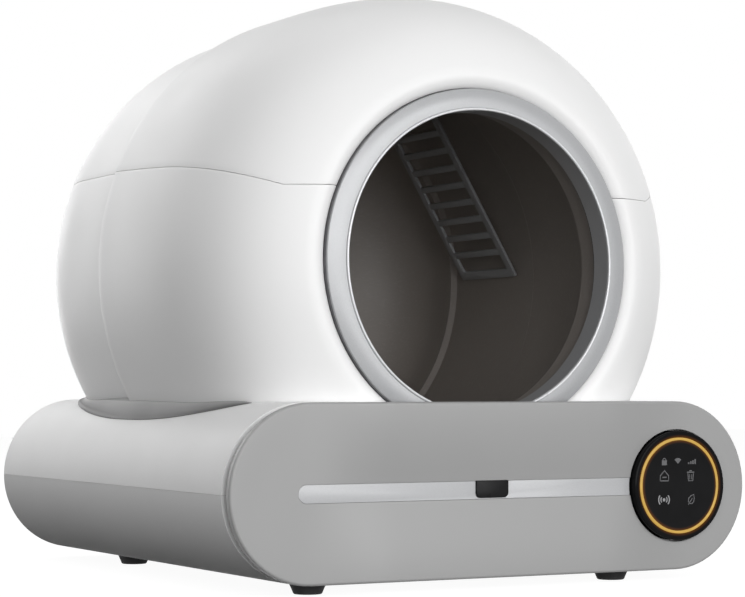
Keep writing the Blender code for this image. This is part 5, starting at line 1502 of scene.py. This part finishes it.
@dataclass
class Drum:
    """The litter drum, its gear, its sieve and its drive."""

    radius: float = 0.210
    wall: float = 0.003
    mouth_radius: float = 0.150
    mouth_at: float = 0.064
    front_reach: float = 0.092
    waist_at: float = 0.160
    joint_at: float = 0.270
    step_at: float = 0.430
    seat_radius: float = 0.205
    shoulder_at: float = 0.452
    rear_reach: float = 0.093
    power: float = 2.5
    sides: int = 160
    curve_steps: int = 22
    port_at: float = 0.355
    port_width: float = 0.180
    port_length: float = 0.110
    sieve_turn: float = 59.0
    sieve_border: float = 0.010
    sieve_bars: int = 8

    def curve(self, radius: float, reach: float, start: float) -> list[Flat]:
        """Radius and what is left to the full radius along a rounded end."""
        turns = swell_turns(start / radius, self.power, self.curve_steps)
        exponent = 2 / self.power
        return [(radius * math.sin(t) ** exponent, reach * max(math.cos(t), 0) ** exponent) for t in turns]

    def front_bowl(self) -> Obj:
        """Front bowl with a rolled mouth."""
        wall, mouth, at = self.wall, self.mouth_radius, self.mouth_at
        outer, inner = (
            [(r, self.waist_at - left) for r, left in self.curve(self.radius - t, self.front_reach - t, mouth - t)]
            for t in (0, wall)
        )
        profile = [(mouth - 0.0008, at), (mouth, at + 0.0008), *outer]
        profile += [(self.radius, self.joint_at), (self.radius - wall, self.joint_at), *reversed(inner)]
        profile += [(mouth - wall, at + 0.0008), (mouth - wall + 0.0008, at)]
        return lathe("front_bowl", profile, self.sides)

    def rear_bowl(self) -> Obj:
        """Rear bowl with the step for the gear and the waste port."""
        wall, seat = self.wall, self.seat_radius
        outer, inner = (
            [(r, self.shoulder_at + left) for r, left in self.curve(seat - t, self.rear_reach - t, 0)]
            for t in (0, wall)
        )
        profile = [*inner, (seat - wall, self.step_at + 0.0035), (self.radius - wall, self.step_at - 0.0015)]
        profile += [(self.radius - wall, self.joint_at + FIT), (self.radius, self.joint_at + FIT)]
        profile += [(self.radius, self.step_at), (seat, self.step_at + 0.005), *reversed(outer)]
        bowl = lathe("rear_bowl", profile, self.sides, closed=False)
        outline = rounded(self.port_width, self.port_length, 0.008)
        port = layered("waste_port", [(outline, 0.42), (outline, 0.53)], (0, FRONT_Y + self.port_at, 0))
        return weighted(carve(bowl, port))

    def sieve(self, finishes: Finishes, recipes: Recipes) -> None:
        """Sieve across a chord of the drum: a frame and a row of round-edged bars."""
        angle, chord = math.radians(self.sieve_turn), math.cos(math.radians(30))
        inner = (self.radius - self.wall) * math.cos(math.pi / 40) - FIT
        across = math.sqrt(inner**2 - (inner * chord) ** 2)
        out = inner * chord - 0.0015
        place = Matrix.Translation(
            (out * math.sin(angle), FRONT_Y + self.port_at, AXIS_Z + out * math.cos(angle))
        ) @ Matrix.Rotation(angle, 4, "Y")
        outline = rounded(2 * across, self.port_length, 0.002, 3)
        frame = layered("sieve_frame", [(outline, -0.0015), (outline, 0.0015)])
        width = 2 * across - 2 * self.sieve_border
        window = rounded(width, self.port_length - 2 * self.sieve_border, 0.003, 3)
        bevelled(carve(frame, layered("window", [(window, -0.01), (window, 0.01)])), 0.0005)
        pitch = width / (self.sieve_bars + 1)
        bar = bevelled(block("bar", (-pitch * 0.175, -0.046, -0.0014), (pitch * 0.175, 0.046, 0.0014)), 0.0009, 3)
        row = {"Count": self.sieve_bars, "Start": (-across + self.sieve_border + pitch, 0, 0), "Step": (pitch, 0, 0)}
        bars = repeat(recipes.line, bar, "sieve_bars", finishes.inner, **row)
        for obj in (frame, bars):
            obj.data.transform(place)
        dress(frame, finishes.inner, Body.DRUM, "sieve_grid")
        dress(bars, finishes.inner, Body.DRUM)

    def rollers(self, finishes: Finishes) -> None:
        """Four rubber-tyred rollers, their axles and brackets."""
        tyre = [(0.0034, -0.0078), (0.0062, -0.0078), (0.0068, -0.0068), (0.0092, -0.0068), (0.0098, -0.008)]
        tyre = mirrored([*tyre, (0.0124, -0.008), (0.0137, -0.0070), (0.0140, -0.0052)])
        end = -0.0115
        pin = [(0, end), (0.0024, end), (0.0029, end + 0.0005), (0.0029, end + 0.0012), (0.0025, end + 0.0014)]
        pin = mirrored([*pin, (0.0025, end + 0.0019), (0.0029, end + 0.0021)])
        for place in CORNERS:
            node = f"roller_{place}"
            centre, at = turned_span(node)[0], middle_of(node).y - FRONT_Y
            wheel = lathe(f"tyre_{place}", [(r, at + d) for r, d in tyre], 64, centre)
            dress(wheel, finishes.rubber, node, node)
            axle = lathe(f"roller_pin_{place}", [(r, at + d) for r, d in pin], 40, centre, closed=False)
            dress(axle, finishes.bright_steel, Body.BASE, f"axle_{place}")
            yoke = f"roller_yoke_{place}"
            dress_copy(f"bracket_{place}", yoke, 0.0008, finishes.inner, Body.BASE, 3)

    def drive(self, finishes: Finishes, recipes: Recipes) -> None:
        """Gear ring, pinion and its shaft, gear motor and its plate."""
        dress_copy("drum_ring_gear", "toothed_ring", 0.0003, finishes.acetal, Body.DRUM)
        dress_copy("motor_pinion", "toothed_pinion", 0.0003, finishes.acetal, Body.PINION)
        centre, start, end = turned_span("motor_shaft")
        rod = [(0, start), (0.0034, start), (0.0039, start + 0.0005), (0.0039, end - 0.0005), (0.0034, end), (0, end)]
        shaft = lathe("gear_shaft", rod, 48, centre, closed=False)
        dress(shaft, finishes.bright_steel, Body.PINION, "motor_shaft")
        self.gear_case(centre, finishes, recipes)
        self.motor(centre, finishes)
        self.motor_plate(centre, finishes, recipes)

    def gear_case(self, centre: Flat, finishes: Finishes, recipes: Recipes) -> None:
        """Gear case with two flanges and six screws in its rear one."""
        _, start, end = turned_span("motor_gearbox")
        case = [(0.0043, start + 0.012), (0.0043, start), (0.0275, start), (0.029, start + 0.0015)]
        case += [(0.029, start + 0.006), (0.0275, start + 0.0068), (0.0275, end - 0.0115), (0.029, end - 0.0105)]
        case += [(0.029, end - 0.0018), (0.0275, end), (0.0, end), (0.0, start + 0.012)]
        box = lathe("gear_case", case, 96, centre, closed=False)
        dress(box, finishes.inner, Body.BASE, "motor_gearbox")
        ring = {"Count": 6, "Radius": 0.0236, "Middle": (centre[0], FRONT_Y + end, centre[1])}
        dress_repeat(recipes.ring, self.turned_head(), "gear_case_screws", finishes.steel, Body.BASE, **ring)

    def motor(self, centre: Flat, finishes: Finishes) -> None:
        """Motor can with a rolled groove, and its two lugs."""
        _, start, end = turned_span("drive_motor")
        can = [(0, start), (0.0165, start), (0.0178, start + 0.0012), (0.0178, start + 0.012)]
        can += [(0.0173, start + 0.0125), (0.0173, start + 0.0133), (0.0178, start + 0.0138), (0.0178, end - 0.009)]
        can += [(0.0172, end - 0.0085), (0.0172, end - 0.003), (0.0155, end - 0.0012), (0.0062, end - 0.0012)]
        body = lathe("motor_can", [*can, (0.0055, end), (0, end)], 96, centre, closed=False)
        dress(body, finishes.steel, Body.BASE, "drive_motor")
        lugs = []
        for side in (-1, 1):
            x = centre[0] + side * 0.0095
            corner = (x - 0.0011, FRONT_Y + end - 0.0016, centre[1] - 0.0002)
            lugs.append(block("lug", corner, (x + 0.0011, FRONT_Y + end + 0.0042, centre[1] + 0.0004)))
        dress(bevelled(joined("motor_lugs", lugs), 0.0001), finishes.bright_steel, Body.BASE)

    def motor_plate(self, centre: Flat, finishes: Finishes, recipes: Recipes) -> None:
        """Plate that holds the motor, with four bolts."""
        dress_copy("motor_bracket", "motor_plate", 0.0005, finishes.steel, Body.BASE)
        low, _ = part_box("motor_bracket")
        ring = {"Count": 4, "Radius": 0.021, "Middle": (centre[0], low.y, centre[1])}
        bolt = pan_head(0.0026, 0.0008)
        dress_repeat(recipes.ring, bolt, "motor_plate_bolts", finishes.bright_steel, Body.BASE, **ring)

    def turned_head(self) -> Obj:
        """A screw head that faces +Y."""
        head = pan_head(0.0021, 0.0016)
        head.data.transform(Matrix.Rotation(math.pi, 4, "Z"))
        return head

    def make(self, finishes: Finishes, recipes: Recipes) -> None:
        """Builds and dresses the drum."""
        dress(self.front_bowl(), finishes.drum, Body.DRUM, "drum_front_bowl")
        dress(self.rear_bowl(), finishes.drum, Body.DRUM, "drum_rear_bowl")
        self.sieve(finishes, recipes)
        self.rollers(finishes)
        self.drive(finishes, recipes)
        dress_copy("home_magnet", "position_magnet", 0.0004, finishes.bright_steel, Body.DRUM)
        dress_copy("home_sensor", "position_sensor", 0.0006, finishes.chip, Body.BASE)


@dataclass
class Drawer:
    """The waste drawer: front, strip, tub, bag frame and the release tab with its works."""

    base: Base = field(default_factory=Base)
    thickness: float = 0.014
    face: float = 0.004
    rim: float = 0.003
    edge: float = 0.0026
    plate: float = 0.0065
    groove: float = 0.0042
    dish: float = 0.0006
    dish_border: float = 0.030
    strip_left: float = -0.208
    strip_half: float = 0.0081
    hole_radius: float = 0.0535
    through: Span = (-0.02, 0.02)
    tab_half: float = 0.017
    tab_top: float = 0.0984
    tab_height: float = 0.0153

    def panel_row(self, inset: float, at: float) -> list[Point]:
        """One loop of the front's face, dipped towards the strip."""
        fade = eased((inset - self.edge) / self.dish_border)
        points = []
        for x, z in self.base.pill(inset):
            dip = max(1 - ((z - self.base.middle_z) / (self.base.height / 2 - self.edge)) ** 2, 0) ** 2
            points.append((x, FRONT_Y + at + self.dish * fade * dip, z))
        return points

    def front(self) -> Obj:
        """Front with a round edge, a groove behind it, a shallow dish, and cuts for what it holds."""
        edge = self.edge
        shares = (0.99, 0.93, 0.86, 0.78, 0.70, 0.62, 0.54, 0.46, 0.38, 0.30, 0.22, 0.15, 0.10)
        rows = [(self.base.height / 2 * share, 0) for share in shares]
        rows += [(edge * left, edge * at) for at, left in quarter(8)]
        plate, groove = self.plate, self.groove
        rows += [(0, plate - 0.0001), (0.0001, plate), (groove, plate + 0.0003)]
        rows += [(groove, self.thickness - 0.0005), (groove + 0.0005, self.thickness)]
        front = loft("drawer_front_panel", [self.panel_row(inset, at) for inset, at in rows])
        pocket = prism("pocket", self.base.pill(groove + self.rim), self.face, 0.03)
        hole = prism("display_hole", circle(self.hole_radius, 128, DISPLAY_MIDDLE), -0.02, 0.03)
        slot = prism("strip_slot", self.strip_outline(FIT), -0.02, 0.0025)
        carve(front, pocket, hole, slot, prism("tab_opening", self.tab_outline(FIT), *self.through))
        return weighted(front)

    def tab_outline(self, grown: float) -> list[Flat]:
        """Outline of the tab: straight above, with round lower corners."""
        half, corner = self.tab_half + grown, 0.0044
        top, low = self.tab_top + grown, self.tab_top - self.tab_height - grown
        outline = [(half, top), (-half, top)]
        outline += arc(corner, 180, 270, 10, (-half + corner, low + corner))
        outline += arc(corner, 270, 360, 10, (half - corner, low + corner))
        return [(TAB_X + x, z) for x, z in outline]

    def strip_outline(self, grown: float) -> list[Flat]:
        """Outline of the strip: a round left end and a straight right end."""
        radius = self.strip_half + grown
        left = arc(radius, 90, 270, 28, (self.strip_left + self.strip_half, self.base.middle_z))
        (end, _), z = DISPLAY_MIDDLE, self.base.middle_z
        return left + [(end, z - radius), (end, z + radius)]

    def strip(self) -> Obj:
        """Pale strip with softened edges."""
        strip = prism("front_strip", self.strip_outline(0), 0.0009, 0.0022)
        end = prism("strip_end", circle(self.hole_radius + FIT, 128, DISPLAY_MIDDLE), *self.through)
        carve(strip, end, prism("strip_notch", self.tab_outline(FIT), *self.through))
        return bevelled(strip, 0.0003)

    def tab(self) -> Obj:
        """Release tab: a face with round lower corners, its flange and its rod."""
        face = bevelled(prism("latch_tab", self.tab_outline(0), -0.0008, 0.0050), 0.0005, 3)
        border = 0.003
        half, low = self.tab_half + border, self.tab_top - self.tab_height - border
        corner = (TAB_X + half, FRONT_Y + 0.0058, self.tab_top + border)
        flange = block("flange", (TAB_X - half, FRONT_Y + 0.0043, low), corner)
        rod = prism("rod", circle(0.0025, 32, (TAB_X, TAB_ROD_Z)), 0.005, 0.0295)
        tip = prism("tip", circle(0.0018, 32, (TAB_X, TAB_ROD_Z)), 0.029, 0.030)
        carve(face, flange, rod, tip, operation="UNION")
        return smooth(face)

    def tub(self) -> Obj:
        """Waste tub with drafted walls, a rounded floor edge and a rim."""
        middle = middle_of("waste_tub")
        low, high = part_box("waste_tub")
        width, length, wall = high.x - low.x, high.y - low.y, 0.0025
        rows = [(0.006, low.z), (0.002, low.z + 0.0008), (0.0008, low.z + 0.004), (0.0002, low.z + 0.03)]
        rows += [(0.0, high.z - 0.0006), (0.0006, high.z), (wall - 0.0006, high.z), (wall, high.z - 0.0006)]
        rows += [(wall + 0.0004, low.z + 0.03), (wall + 0.001, low.z + 0.0075), (wall + 0.0025, low.z + 0.0042)]
        loops = []
        for inset, z in [*rows, (wall + 0.006, low.z + wall)]:
            outline = rounded(width - 2 * inset, length - 2 * inset, max(0.015 - inset, 0.004))
            loops.append((outline, z))
        return layered("waste_bin_tub", loops, (middle.x, middle.y, 0))

    def make(self, finishes: Finishes, recipes: Recipes) -> None:
        """Builds and dresses the drawer."""
        dress(self.front(), finishes.grey, Body.DRAWER, "drawer_front")
        dress(self.strip(), finishes.strip, Body.DRAWER, "trim_strip")
        dress(self.tab(), finishes.gloss, Body.TAB, "release_tab")
        dress(self.tub(), finishes.inner, Body.DRAWER, "waste_tub")
        self.ribs(finishes, recipes)
        dress_copy("bag_frame", "bag_clamp_frame", 0.0009, finishes.frame_grey, Body.DRAWER, 3)
        dress_copy("release_bracket", "latch_carrier", 0.0004, finishes.inner, Body.DRAWER)
        dress_copy("push_catch", "latch_catch", 0.0007, finishes.black, Body.BASE, 3)
        self.spring(finishes, recipes)

    def ribs(self, finishes: Finishes, recipes: Recipes) -> None:
        """Nine upright ribs on the tub's rear wall."""
        low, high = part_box("waste_tub")
        rib = bevelled(block("rib", (-0.0009, -0.0004, 0.0), (0.0009, 0.0022, 0.045)), 0.0005)
        border, count = 0.03, 9
        step = (high.x - low.x - 2 * border) / (count - 1)
        row = {"Count": count, "Start": (low.x + border, high.y - 0.0006, low.z + 0.008), "Step": (step, 0.0, 0.0)}
        dress_repeat(recipes.line, rib, "tub_ribs", finishes.inner, Body.DRAWER, **row)

    def spring(self, finishes: Finishes, recipes: Recipes) -> None:
        """Coil spring behind the tab."""
        low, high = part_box("release_spring")
        wire = 0.0004
        length = high.y - low.y - 2 * wire
        start = ((low.x + high.x) / 2, low.y + wire, TAB_ROD_Z)
        values = {"Turns": 3.5, "Radius": 0.0045, "Length": length, "Wire": wire, "Start": start}
        spring = recipes.coil.make("latch_spring", finishes.bright_steel, **values)
        dress(spring, finishes.bright_steel, Body.DRAWER, "release_spring")
        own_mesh(spring)


@dataclass(frozen=True)
class Sign:
    """A pictogram, in millimetres: lines with a width and whether their ends meet, and filled outlines."""

    name: str
    x: float
    z: float
    size: float
    strokes: Sequence[tuple[Sequence[Flat], float, bool]] = ()
    fills: Sequence[Sequence[Flat]] = ()
    bright: bool = False

    def placed(self, points: Sequence[Flat]) -> list[Flat]:
        """Points at the sign's size and place."""
        return [(self.x + a * self.size, self.z + b * self.size) for a, b in points]


def pictograms() -> list[Sign]:
    """The generic signs of the display."""
    lock = [(-2.2, -2.6), (2.2, -2.6), (2.2, 1.0), (-2.2, 1.0)]
    fan = [(0.0, -2.6)] + arc(5.4, 45, 135, 14, (0, -2.6))
    heights = ((-4.7, -0.7), (-2.2, 0.3), (0.3, 1.3), (2.8, 2.3))
    bars = [[(a, -2.3), (a + 1.7, -2.3), (a + 1.7, h), (a, h)] for a, h in heights]
    tray = [(-3.2, -3.0), (3.2, -3.0), (3.2, 0.2), (0.0, 3.4), (-3.2, 0.2)]
    sides = [(-2.3, 1.6), (-1.8, -3.4), (1.8, -3.4), (2.3, 1.6)]
    lid = [([(-3.0, 2.4), (3.0, 2.4)], 0.8, False), ([(-1.0, 3.4), (1.0, 3.4)], 0.7, False)]
    ribs = [([(a, 1.0), (a, -2.4)], 0.5, False) for a in (-0.8, 0.8)]
    waves = [(arc(r, a - 42, a + 42, 10), 0.8, False) for r in (2.3, 4.0) for a in (0, 180)]
    drop = [(0.0, 3.8), (1.7, 1.6), (2.5, -0.6), (1.9, -2.6), (0.0, -3.6), (-1.9, -2.6), (-2.5, -0.6), (-1.7, 1.6)]
    lean = [(a * 0.86 + b * 0.5, b * 0.86 - a * 0.5) for a, b in drop]
    bow = (arc(1.4, 0, 180, 10, (0, 1.0)), 0.6, False)
    return [
        Sign("sign_lock", -18.0, 22.8, 1.3, [bow], [lock]),
        Sign("sign_wireless", -2.2, 23.2, 1.0, fills=[fan]),
        Sign("sign_level", 14.3, 22.4, 1.0, fills=bars),
        Sign("sign_clean", -18.0, 9.2, 1.5, [(tray, 0.7, True), ([(-1.6, -0.8), (1.6, -0.8)], 0.7, False)]),
        Sign("sign_empty", 12.6, 9.0, 1.4, [(sides, 0.7, False), *lid, *ribs]),
        Sign("sign_detect", -18.6, -13.2, 1.55, waves, [circle(1.0, 16)], bright=True),
        Sign("sign_odour", 13.6, -13.2, 1.35, [(lean, 0.7, True), ([(-2.9, -3.9), (0.6, 0.6)], 0.6, False)]),
    ]


@dataclass
class Display:
    """The round display: bezel, lens, lit ring, printed signs and its board."""

    radius: float = 0.052
    round_edge: float = 0.0016
    face_at: float = -0.006
    rear_at: float = 0.0167
    recess_at: float = -0.0035
    sides: int = 160

    def bezel(self) -> Obj:
        """Housing with a round outer edge and a recess for the lens."""
        face, rear, edge, recess = self.face_at, self.rear_at, self.round_edge, self.recess_at
        profile = [(0, recess), (0.0462, recess), (0.0462, face + 0.0003), (0.0465, face)]
        profile += [(self.radius - edge + x, face + edge + z) for x, z in arc(edge, 270, 360, 6)]
        profile += [(self.radius, rear - 0.0003), (self.radius - 0.0003, rear), (0.049, rear), (0.049, -0.0005)]
        return lathe("display_bezel", [*profile, (0, -0.0005)], self.sides, DISPLAY_MIDDLE, closed=False)

    def lens(self) -> Obj:
        """Flat lens with a fine round edge."""
        outer, face = LIT_INNER - FIT, self.face_at + 0.00012
        profile = [(0, face), (outer - 0.0004, face), (outer, self.face_at + 0.0005), (outer, -0.0038), (0, -0.0038)]
        return lathe("display_cover_lens", profile, self.sides, DISPLAY_MIDDLE, closed=False)

    def light_ring(self) -> Obj:
        """Light guide with a crowned face."""
        profile = [(LIT_OUTER, -0.0038), (LIT_INNER, -0.0038)]
        for share in shares(6):
            crown = 0.0003 * (1 - math.sin(math.pi * share))
            profile.append((LIT_INNER + (LIT_OUTER - LIT_INNER) * share, self.face_at + 0.0001 + crown))
        return lathe("light_guide_ring", profile, self.sides, DISPLAY_MIDDLE)

    def raised(self, points: Sequence[Flat]) -> tuple[list[Point], list[Point]]:
        """Points on the lens and the same points at the print's height."""
        middle_x, middle_z = DISPLAY_MIDDLE
        flat = [(middle_x + x * MM, middle_z + z * MM) for x, z in points]
        return stand(flat, self.face_at + 0.00016), stand(flat, self.face_at + 0.00002)

    def stroke(self, name: str, points: Sequence[Flat], width: float, closed: bool = False) -> Obj:
        """A line of a width on the lens.

        Args:
            name: the object's name.
            points: places in millimetres from the display's middle.
            width: the line's width in millimetres.
            closed: whether its ends meet.

        Returns:
            The raised line.
        """
        loops = []
        last = len(points) - 1
        for i, (x, z) in enumerate(points):
            before = points[i - 1] if i or closed else points[i]
            after = points[(i + 1) % len(points)] if i < last or closed else points[i]
            way = Vector((after[0] - before[0], after[1] - before[1])).normalized()
            side = Vector((-way.y, way.x)) * width / 2
            low, high = self.raised([(x + side.x, z + side.y), (x - side.x, z - side.y)])
            loops.append([low[0], low[1], high[1], high[0]])
        return loft(name, loops, ends=not closed, ring=closed)

    def signs(self, finishes: Finishes) -> None:
        """Prints the pictograms on the lens."""
        for sign in pictograms():
            pieces = []
            for points, width, closed in sign.strokes:
                pieces.append(self.stroke("line", sign.placed(points), width * sign.size, closed))
            for points in sign.fills:
                pieces.append(loft("fill", self.raised(sign.placed(points))))
            finish = finishes.print_bright if sign.bright else finishes.print_grey
            dress(joined(sign.name, pieces), finish, Body.BASE)

    def make(self, finishes: Finishes, recipes: Recipes) -> None:
        """Builds and dresses the display."""
        dress(self.bezel(), finishes.bezel, Body.BASE, "display_housing")
        dress(self.lens(), finishes.lens, Body.BASE, "display_lens")
        dress(self.light_ring(), finishes.amber, Body.BASE, "display_light_ring")
        self.signs(finishes)
        dress_copy("display_board", "display_circuit_board", 0.0002, finishes.board, Body.BASE)
        _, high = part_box("display_board")
        lamp = bevelled(block("lamp", (-0.0014, 0.0, -0.0014), (0.0014, 0.0009, 0.0014)), 0.0003)
        ring = {"Count": 16, "Radius": 0.041, "Middle": (DISPLAY_MIDDLE[0], high.y, DISPLAY_MIDDLE[1])}
        dress_repeat(recipes.ring, lamp, "display_lamps", finishes.chip, Body.BASE, **ring)


@dataclass
class Electronics:
    """The control board and the power inlet."""

    board: float = 0.0016
    cans: tuple[Flat, ...] = ((0.010, 0.014), (0.010, 0.030), (0.062, 0.016))

    def make(self, finishes: Finishes, recipes: Recipes) -> None:
        """Builds and dresses the electronics."""
        dress_copy("main_board", "control_circuit_board", 0.0002, finishes.board, Body.BASE)
        low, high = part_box("main_board")
        top = low.z + self.board
        part = bevelled(block("part", (-0.0012, -0.0009, -0.0002), (0.0012, 0.0009, 0.0011)), 0.0002)
        grid = {"Width": 0.062, "Length": 0.138, "Across": 9, "Along": 19, "Share": 0.42, "Seed": 7}
        grid["Place"] = ((low.x + high.x) / 2, (low.y + high.y) / 2, top)
        dress_repeat(recipes.scatter, part, "board_small_parts", finishes.chip, Body.BASE, **grid)
        cans = [self.can(0.005 - 0.0006 * i, (low.x + x, low.y + y, top)) for i, (x, y) in enumerate(self.cans)]
        dress(joined("board_capacitors", cans), finishes.bright_steel, Body.BASE)
        plug = bevelled(block("plug", (-0.0035, -0.0040, 0.0), (0.0035, 0.0040, 0.0065)), 0.0004)
        row = {"Count": 6, "Start": (high.x - 0.006, low.y + 0.040, top), "Step": (0.0, 0.015, 0.0)}
        dress_repeat(recipes.line, plug, "board_connectors", finishes.acetal, Body.BASE, **row)
        self.inlet(finishes)

    def can(self, wide: float, foot: Point) -> Obj:
        """An upright capacitor with a groove near its foot."""
        profile = [(0, 0.0), (wide, 0.0), (wide, 0.0012), (wide - 0.0004, 0.0016), (wide, 0.002), (wide, 0.0106)]
        return spindle("can", [*profile, (wide - 0.0006, 0.0112), (0, 0.0110)], 32, foot)

    def inlet(self, finishes: Finishes) -> None:
        """Power inlet with its flange, bore and centre pin."""
        centre, start, end = turned_span("power_inlet")
        shell = [(0, start), (0.0058, start), (0.0065, start + 0.0007), (0.0065, 0.5747), (0.0097, 0.5747)]
        shell += [(0.010, 0.575), (0.010, 0.5767), (0.0065, 0.5767), (0.0065, end - 0.0005), (0.0060, end)]
        shell += [(0.0043, end), (0.0038, end - 0.0005), (0.0038, end - 0.011), (0, end - 0.011)]
        socket = lathe("inlet_socket_body", shell, 64, centre, closed=False)
        dress(socket, finishes.black, Body.BASE, "power_inlet")
        rod = [(0, end - 0.0112), (0.0010, end - 0.0112), (0.0010, end - 0.0022), (0.0006, end - 0.0016)]
        pin = lathe("inlet_pin", [*rod, (0, end - 0.0015)], 32, centre, closed=False)
        dress(pin, finishes.bright_steel, Body.BASE)


# Picture


@dataclass
class Studio:
    """Camera, lamps, background and floor."""

    camera_place: Point = (-1.10249, -2.05969, 0.18298)
    tilt: float = 92.2374
    heading: float = -28.619
    lens: float = 110.138
    target: Point = (0.0, 0.0, 0.25)
    lamp_distance: float = 3.0
    soft_level: float = 0.18
    floor_reach: float = 6.0

    def camera(self) -> None:
        """The camera at the picture's viewing angle."""
        data = bpy.data.cameras.new("picture_camera")
        data.lens = self.lens
        data.sensor_width = 36
        camera = placed("picture_camera", data)
        camera.location = self.camera_place
        camera.rotation_euler = (math.radians(self.tilt), 0, math.radians(self.heading))
        bpy.context.scene.camera = camera

    def lamp(self, name: str, direction: Point, level: float, wide: float, tall: float) -> None:
        """A soft lamp.

        Args:
            name: the lamp's name.
            direction: where it stands, seen from the machine.
            level: the light that reaches a surface facing it, where one is a white surface's white.
            wide: the lamp's width.
            tall: the lamp's height.
        """
        data = bpy.data.lights.new(name, "AREA")
        data.shape = "RECTANGLE"
        data.size, data.size_y = wide, tall
        data.energy = level * math.pi**2 * self.lamp_distance**2
        lamp = placed(name, data)
        way = Vector(direction).normalized()
        lamp.location = Vector(self.target) + way * self.lamp_distance
        lamp.rotation_euler = way.to_track_quat("Z", "Y").to_euler()

    def seen(self, tree: bpy.types.NodeTree) -> Socket:
        """One for camera, glossy and transmission rays, and zero for the others."""
        path = add_node(tree, "ShaderNodeLightPath").outputs
        shown = path["Is Camera Ray"]
        for kind in ("Is Glossy Ray", "Is Transmission Ray"):
            shown = add_node(tree, "ShaderNodeMath", {0: shown, 1: path[kind]}, operation="MAXIMUM").outputs[0]
        return shown

    def world(self) -> None:
        """Soft light from all sides, and a white background."""
        world = bpy.data.worlds.new("white_studio")
        bpy.context.scene.world = world
        world.use_nodes = True
        tree = world.node_tree
        tree.nodes.clear()
        soft, white = (
            add_node(tree, "ShaderNodeBackground", {"Color": WHITE, "Strength": strength}).outputs[0]
            for strength in (self.soft_level, 1.0)
        )
        mix = add_node(tree, "ShaderNodeMixShader", {0: self.seen(tree), 1: soft, 2: white}).outputs[0]
        add_node(tree, "ShaderNodeOutputWorld", {0: mix})

    def floor(self) -> None:
        """Plain pale floor that shows white and keeps the machine's shadow."""
        reach = self.floor_reach
        corners = [(-reach, -reach, 0), (reach, -reach, 0), (reach, reach, 0), (-reach, reach, 0)]
        floor = mesh_object("studio_floor", corners, [(0, 1, 2, 3)], closed=False)
        material = bpy.data.materials.new("pale_studio_floor")
        material.use_nodes = True
        tree = material.node_tree
        tree.nodes.clear()
        glow = add_node(tree, "ShaderNodeEmission", {"Color": WHITE, "Strength": 0.95}).outputs[0]
        shade, dull = (
            add_node(tree, "ShaderNodeBsdfDiffuse", {"Color": (grey, grey, grey, 1)}).outputs[0]
            for grey in (0.16, 0.06)
        )
        shown = add_node(tree, "ShaderNodeAddShader", {0: glow, 1: shade}).outputs[0]
        mix = add_node(tree, "ShaderNodeMixShader", {0: self.seen(tree), 1: dull, 2: shown}).outputs[0]
        add_node(tree, "ShaderNodeOutputMaterial", {0: mix})
        floor.data.materials.append(material)

    def make(self) -> None:
        """Sets up the picture."""
        bpy.context.scene.view_settings.view_transform = "Standard"
        self.camera()
        self.lamp("front_lamp", (0.086, -0.987, 0.139), 0.91, 2.6, 2.0)
        self.lamp("left_front_lamp", (-0.554, -0.821, 0.139), 0.27, 2.2, 2.0)
        self.lamp("left_rear_lamp", (-0.742, 0.52, 0.423), 0.13, 2.0, 2.0)
        self.lamp("low_rear_lamp", (-0.251, 0.937, 0.242), 0.33, 2.2, 2.2)
        self.lamp("high_rear_lamp", (-0.148, 0.554, 0.819), 0.18, 2.2, 2.2)
        self.lamp("right_rear_lamp", (0.85, 0.45, 0.27), 0.08, 2.0, 2.0)
        self.world()
        self.floor()


def main() -> None:
    """Builds every sub-assembly and the picture."""
    logging.basicConfig(level=logging.INFO, format="%(name)s: %(message)s", stream=sys.stdout)
    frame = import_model()
    LOG.info("%d CAD nodes", len(frame["nodes"]))
    Studio().make()
    finishes = Finishes()
    recipes = Recipes()
    Base().make(finishes)
    Casing().make(finishes)
    Drum().make(finishes, recipes)
    Drawer().make(finishes, recipes)
    Display().make(finishes, recipes)
    Electronics().make(finishes, recipes)


if __name__ == "__main__":
    main()
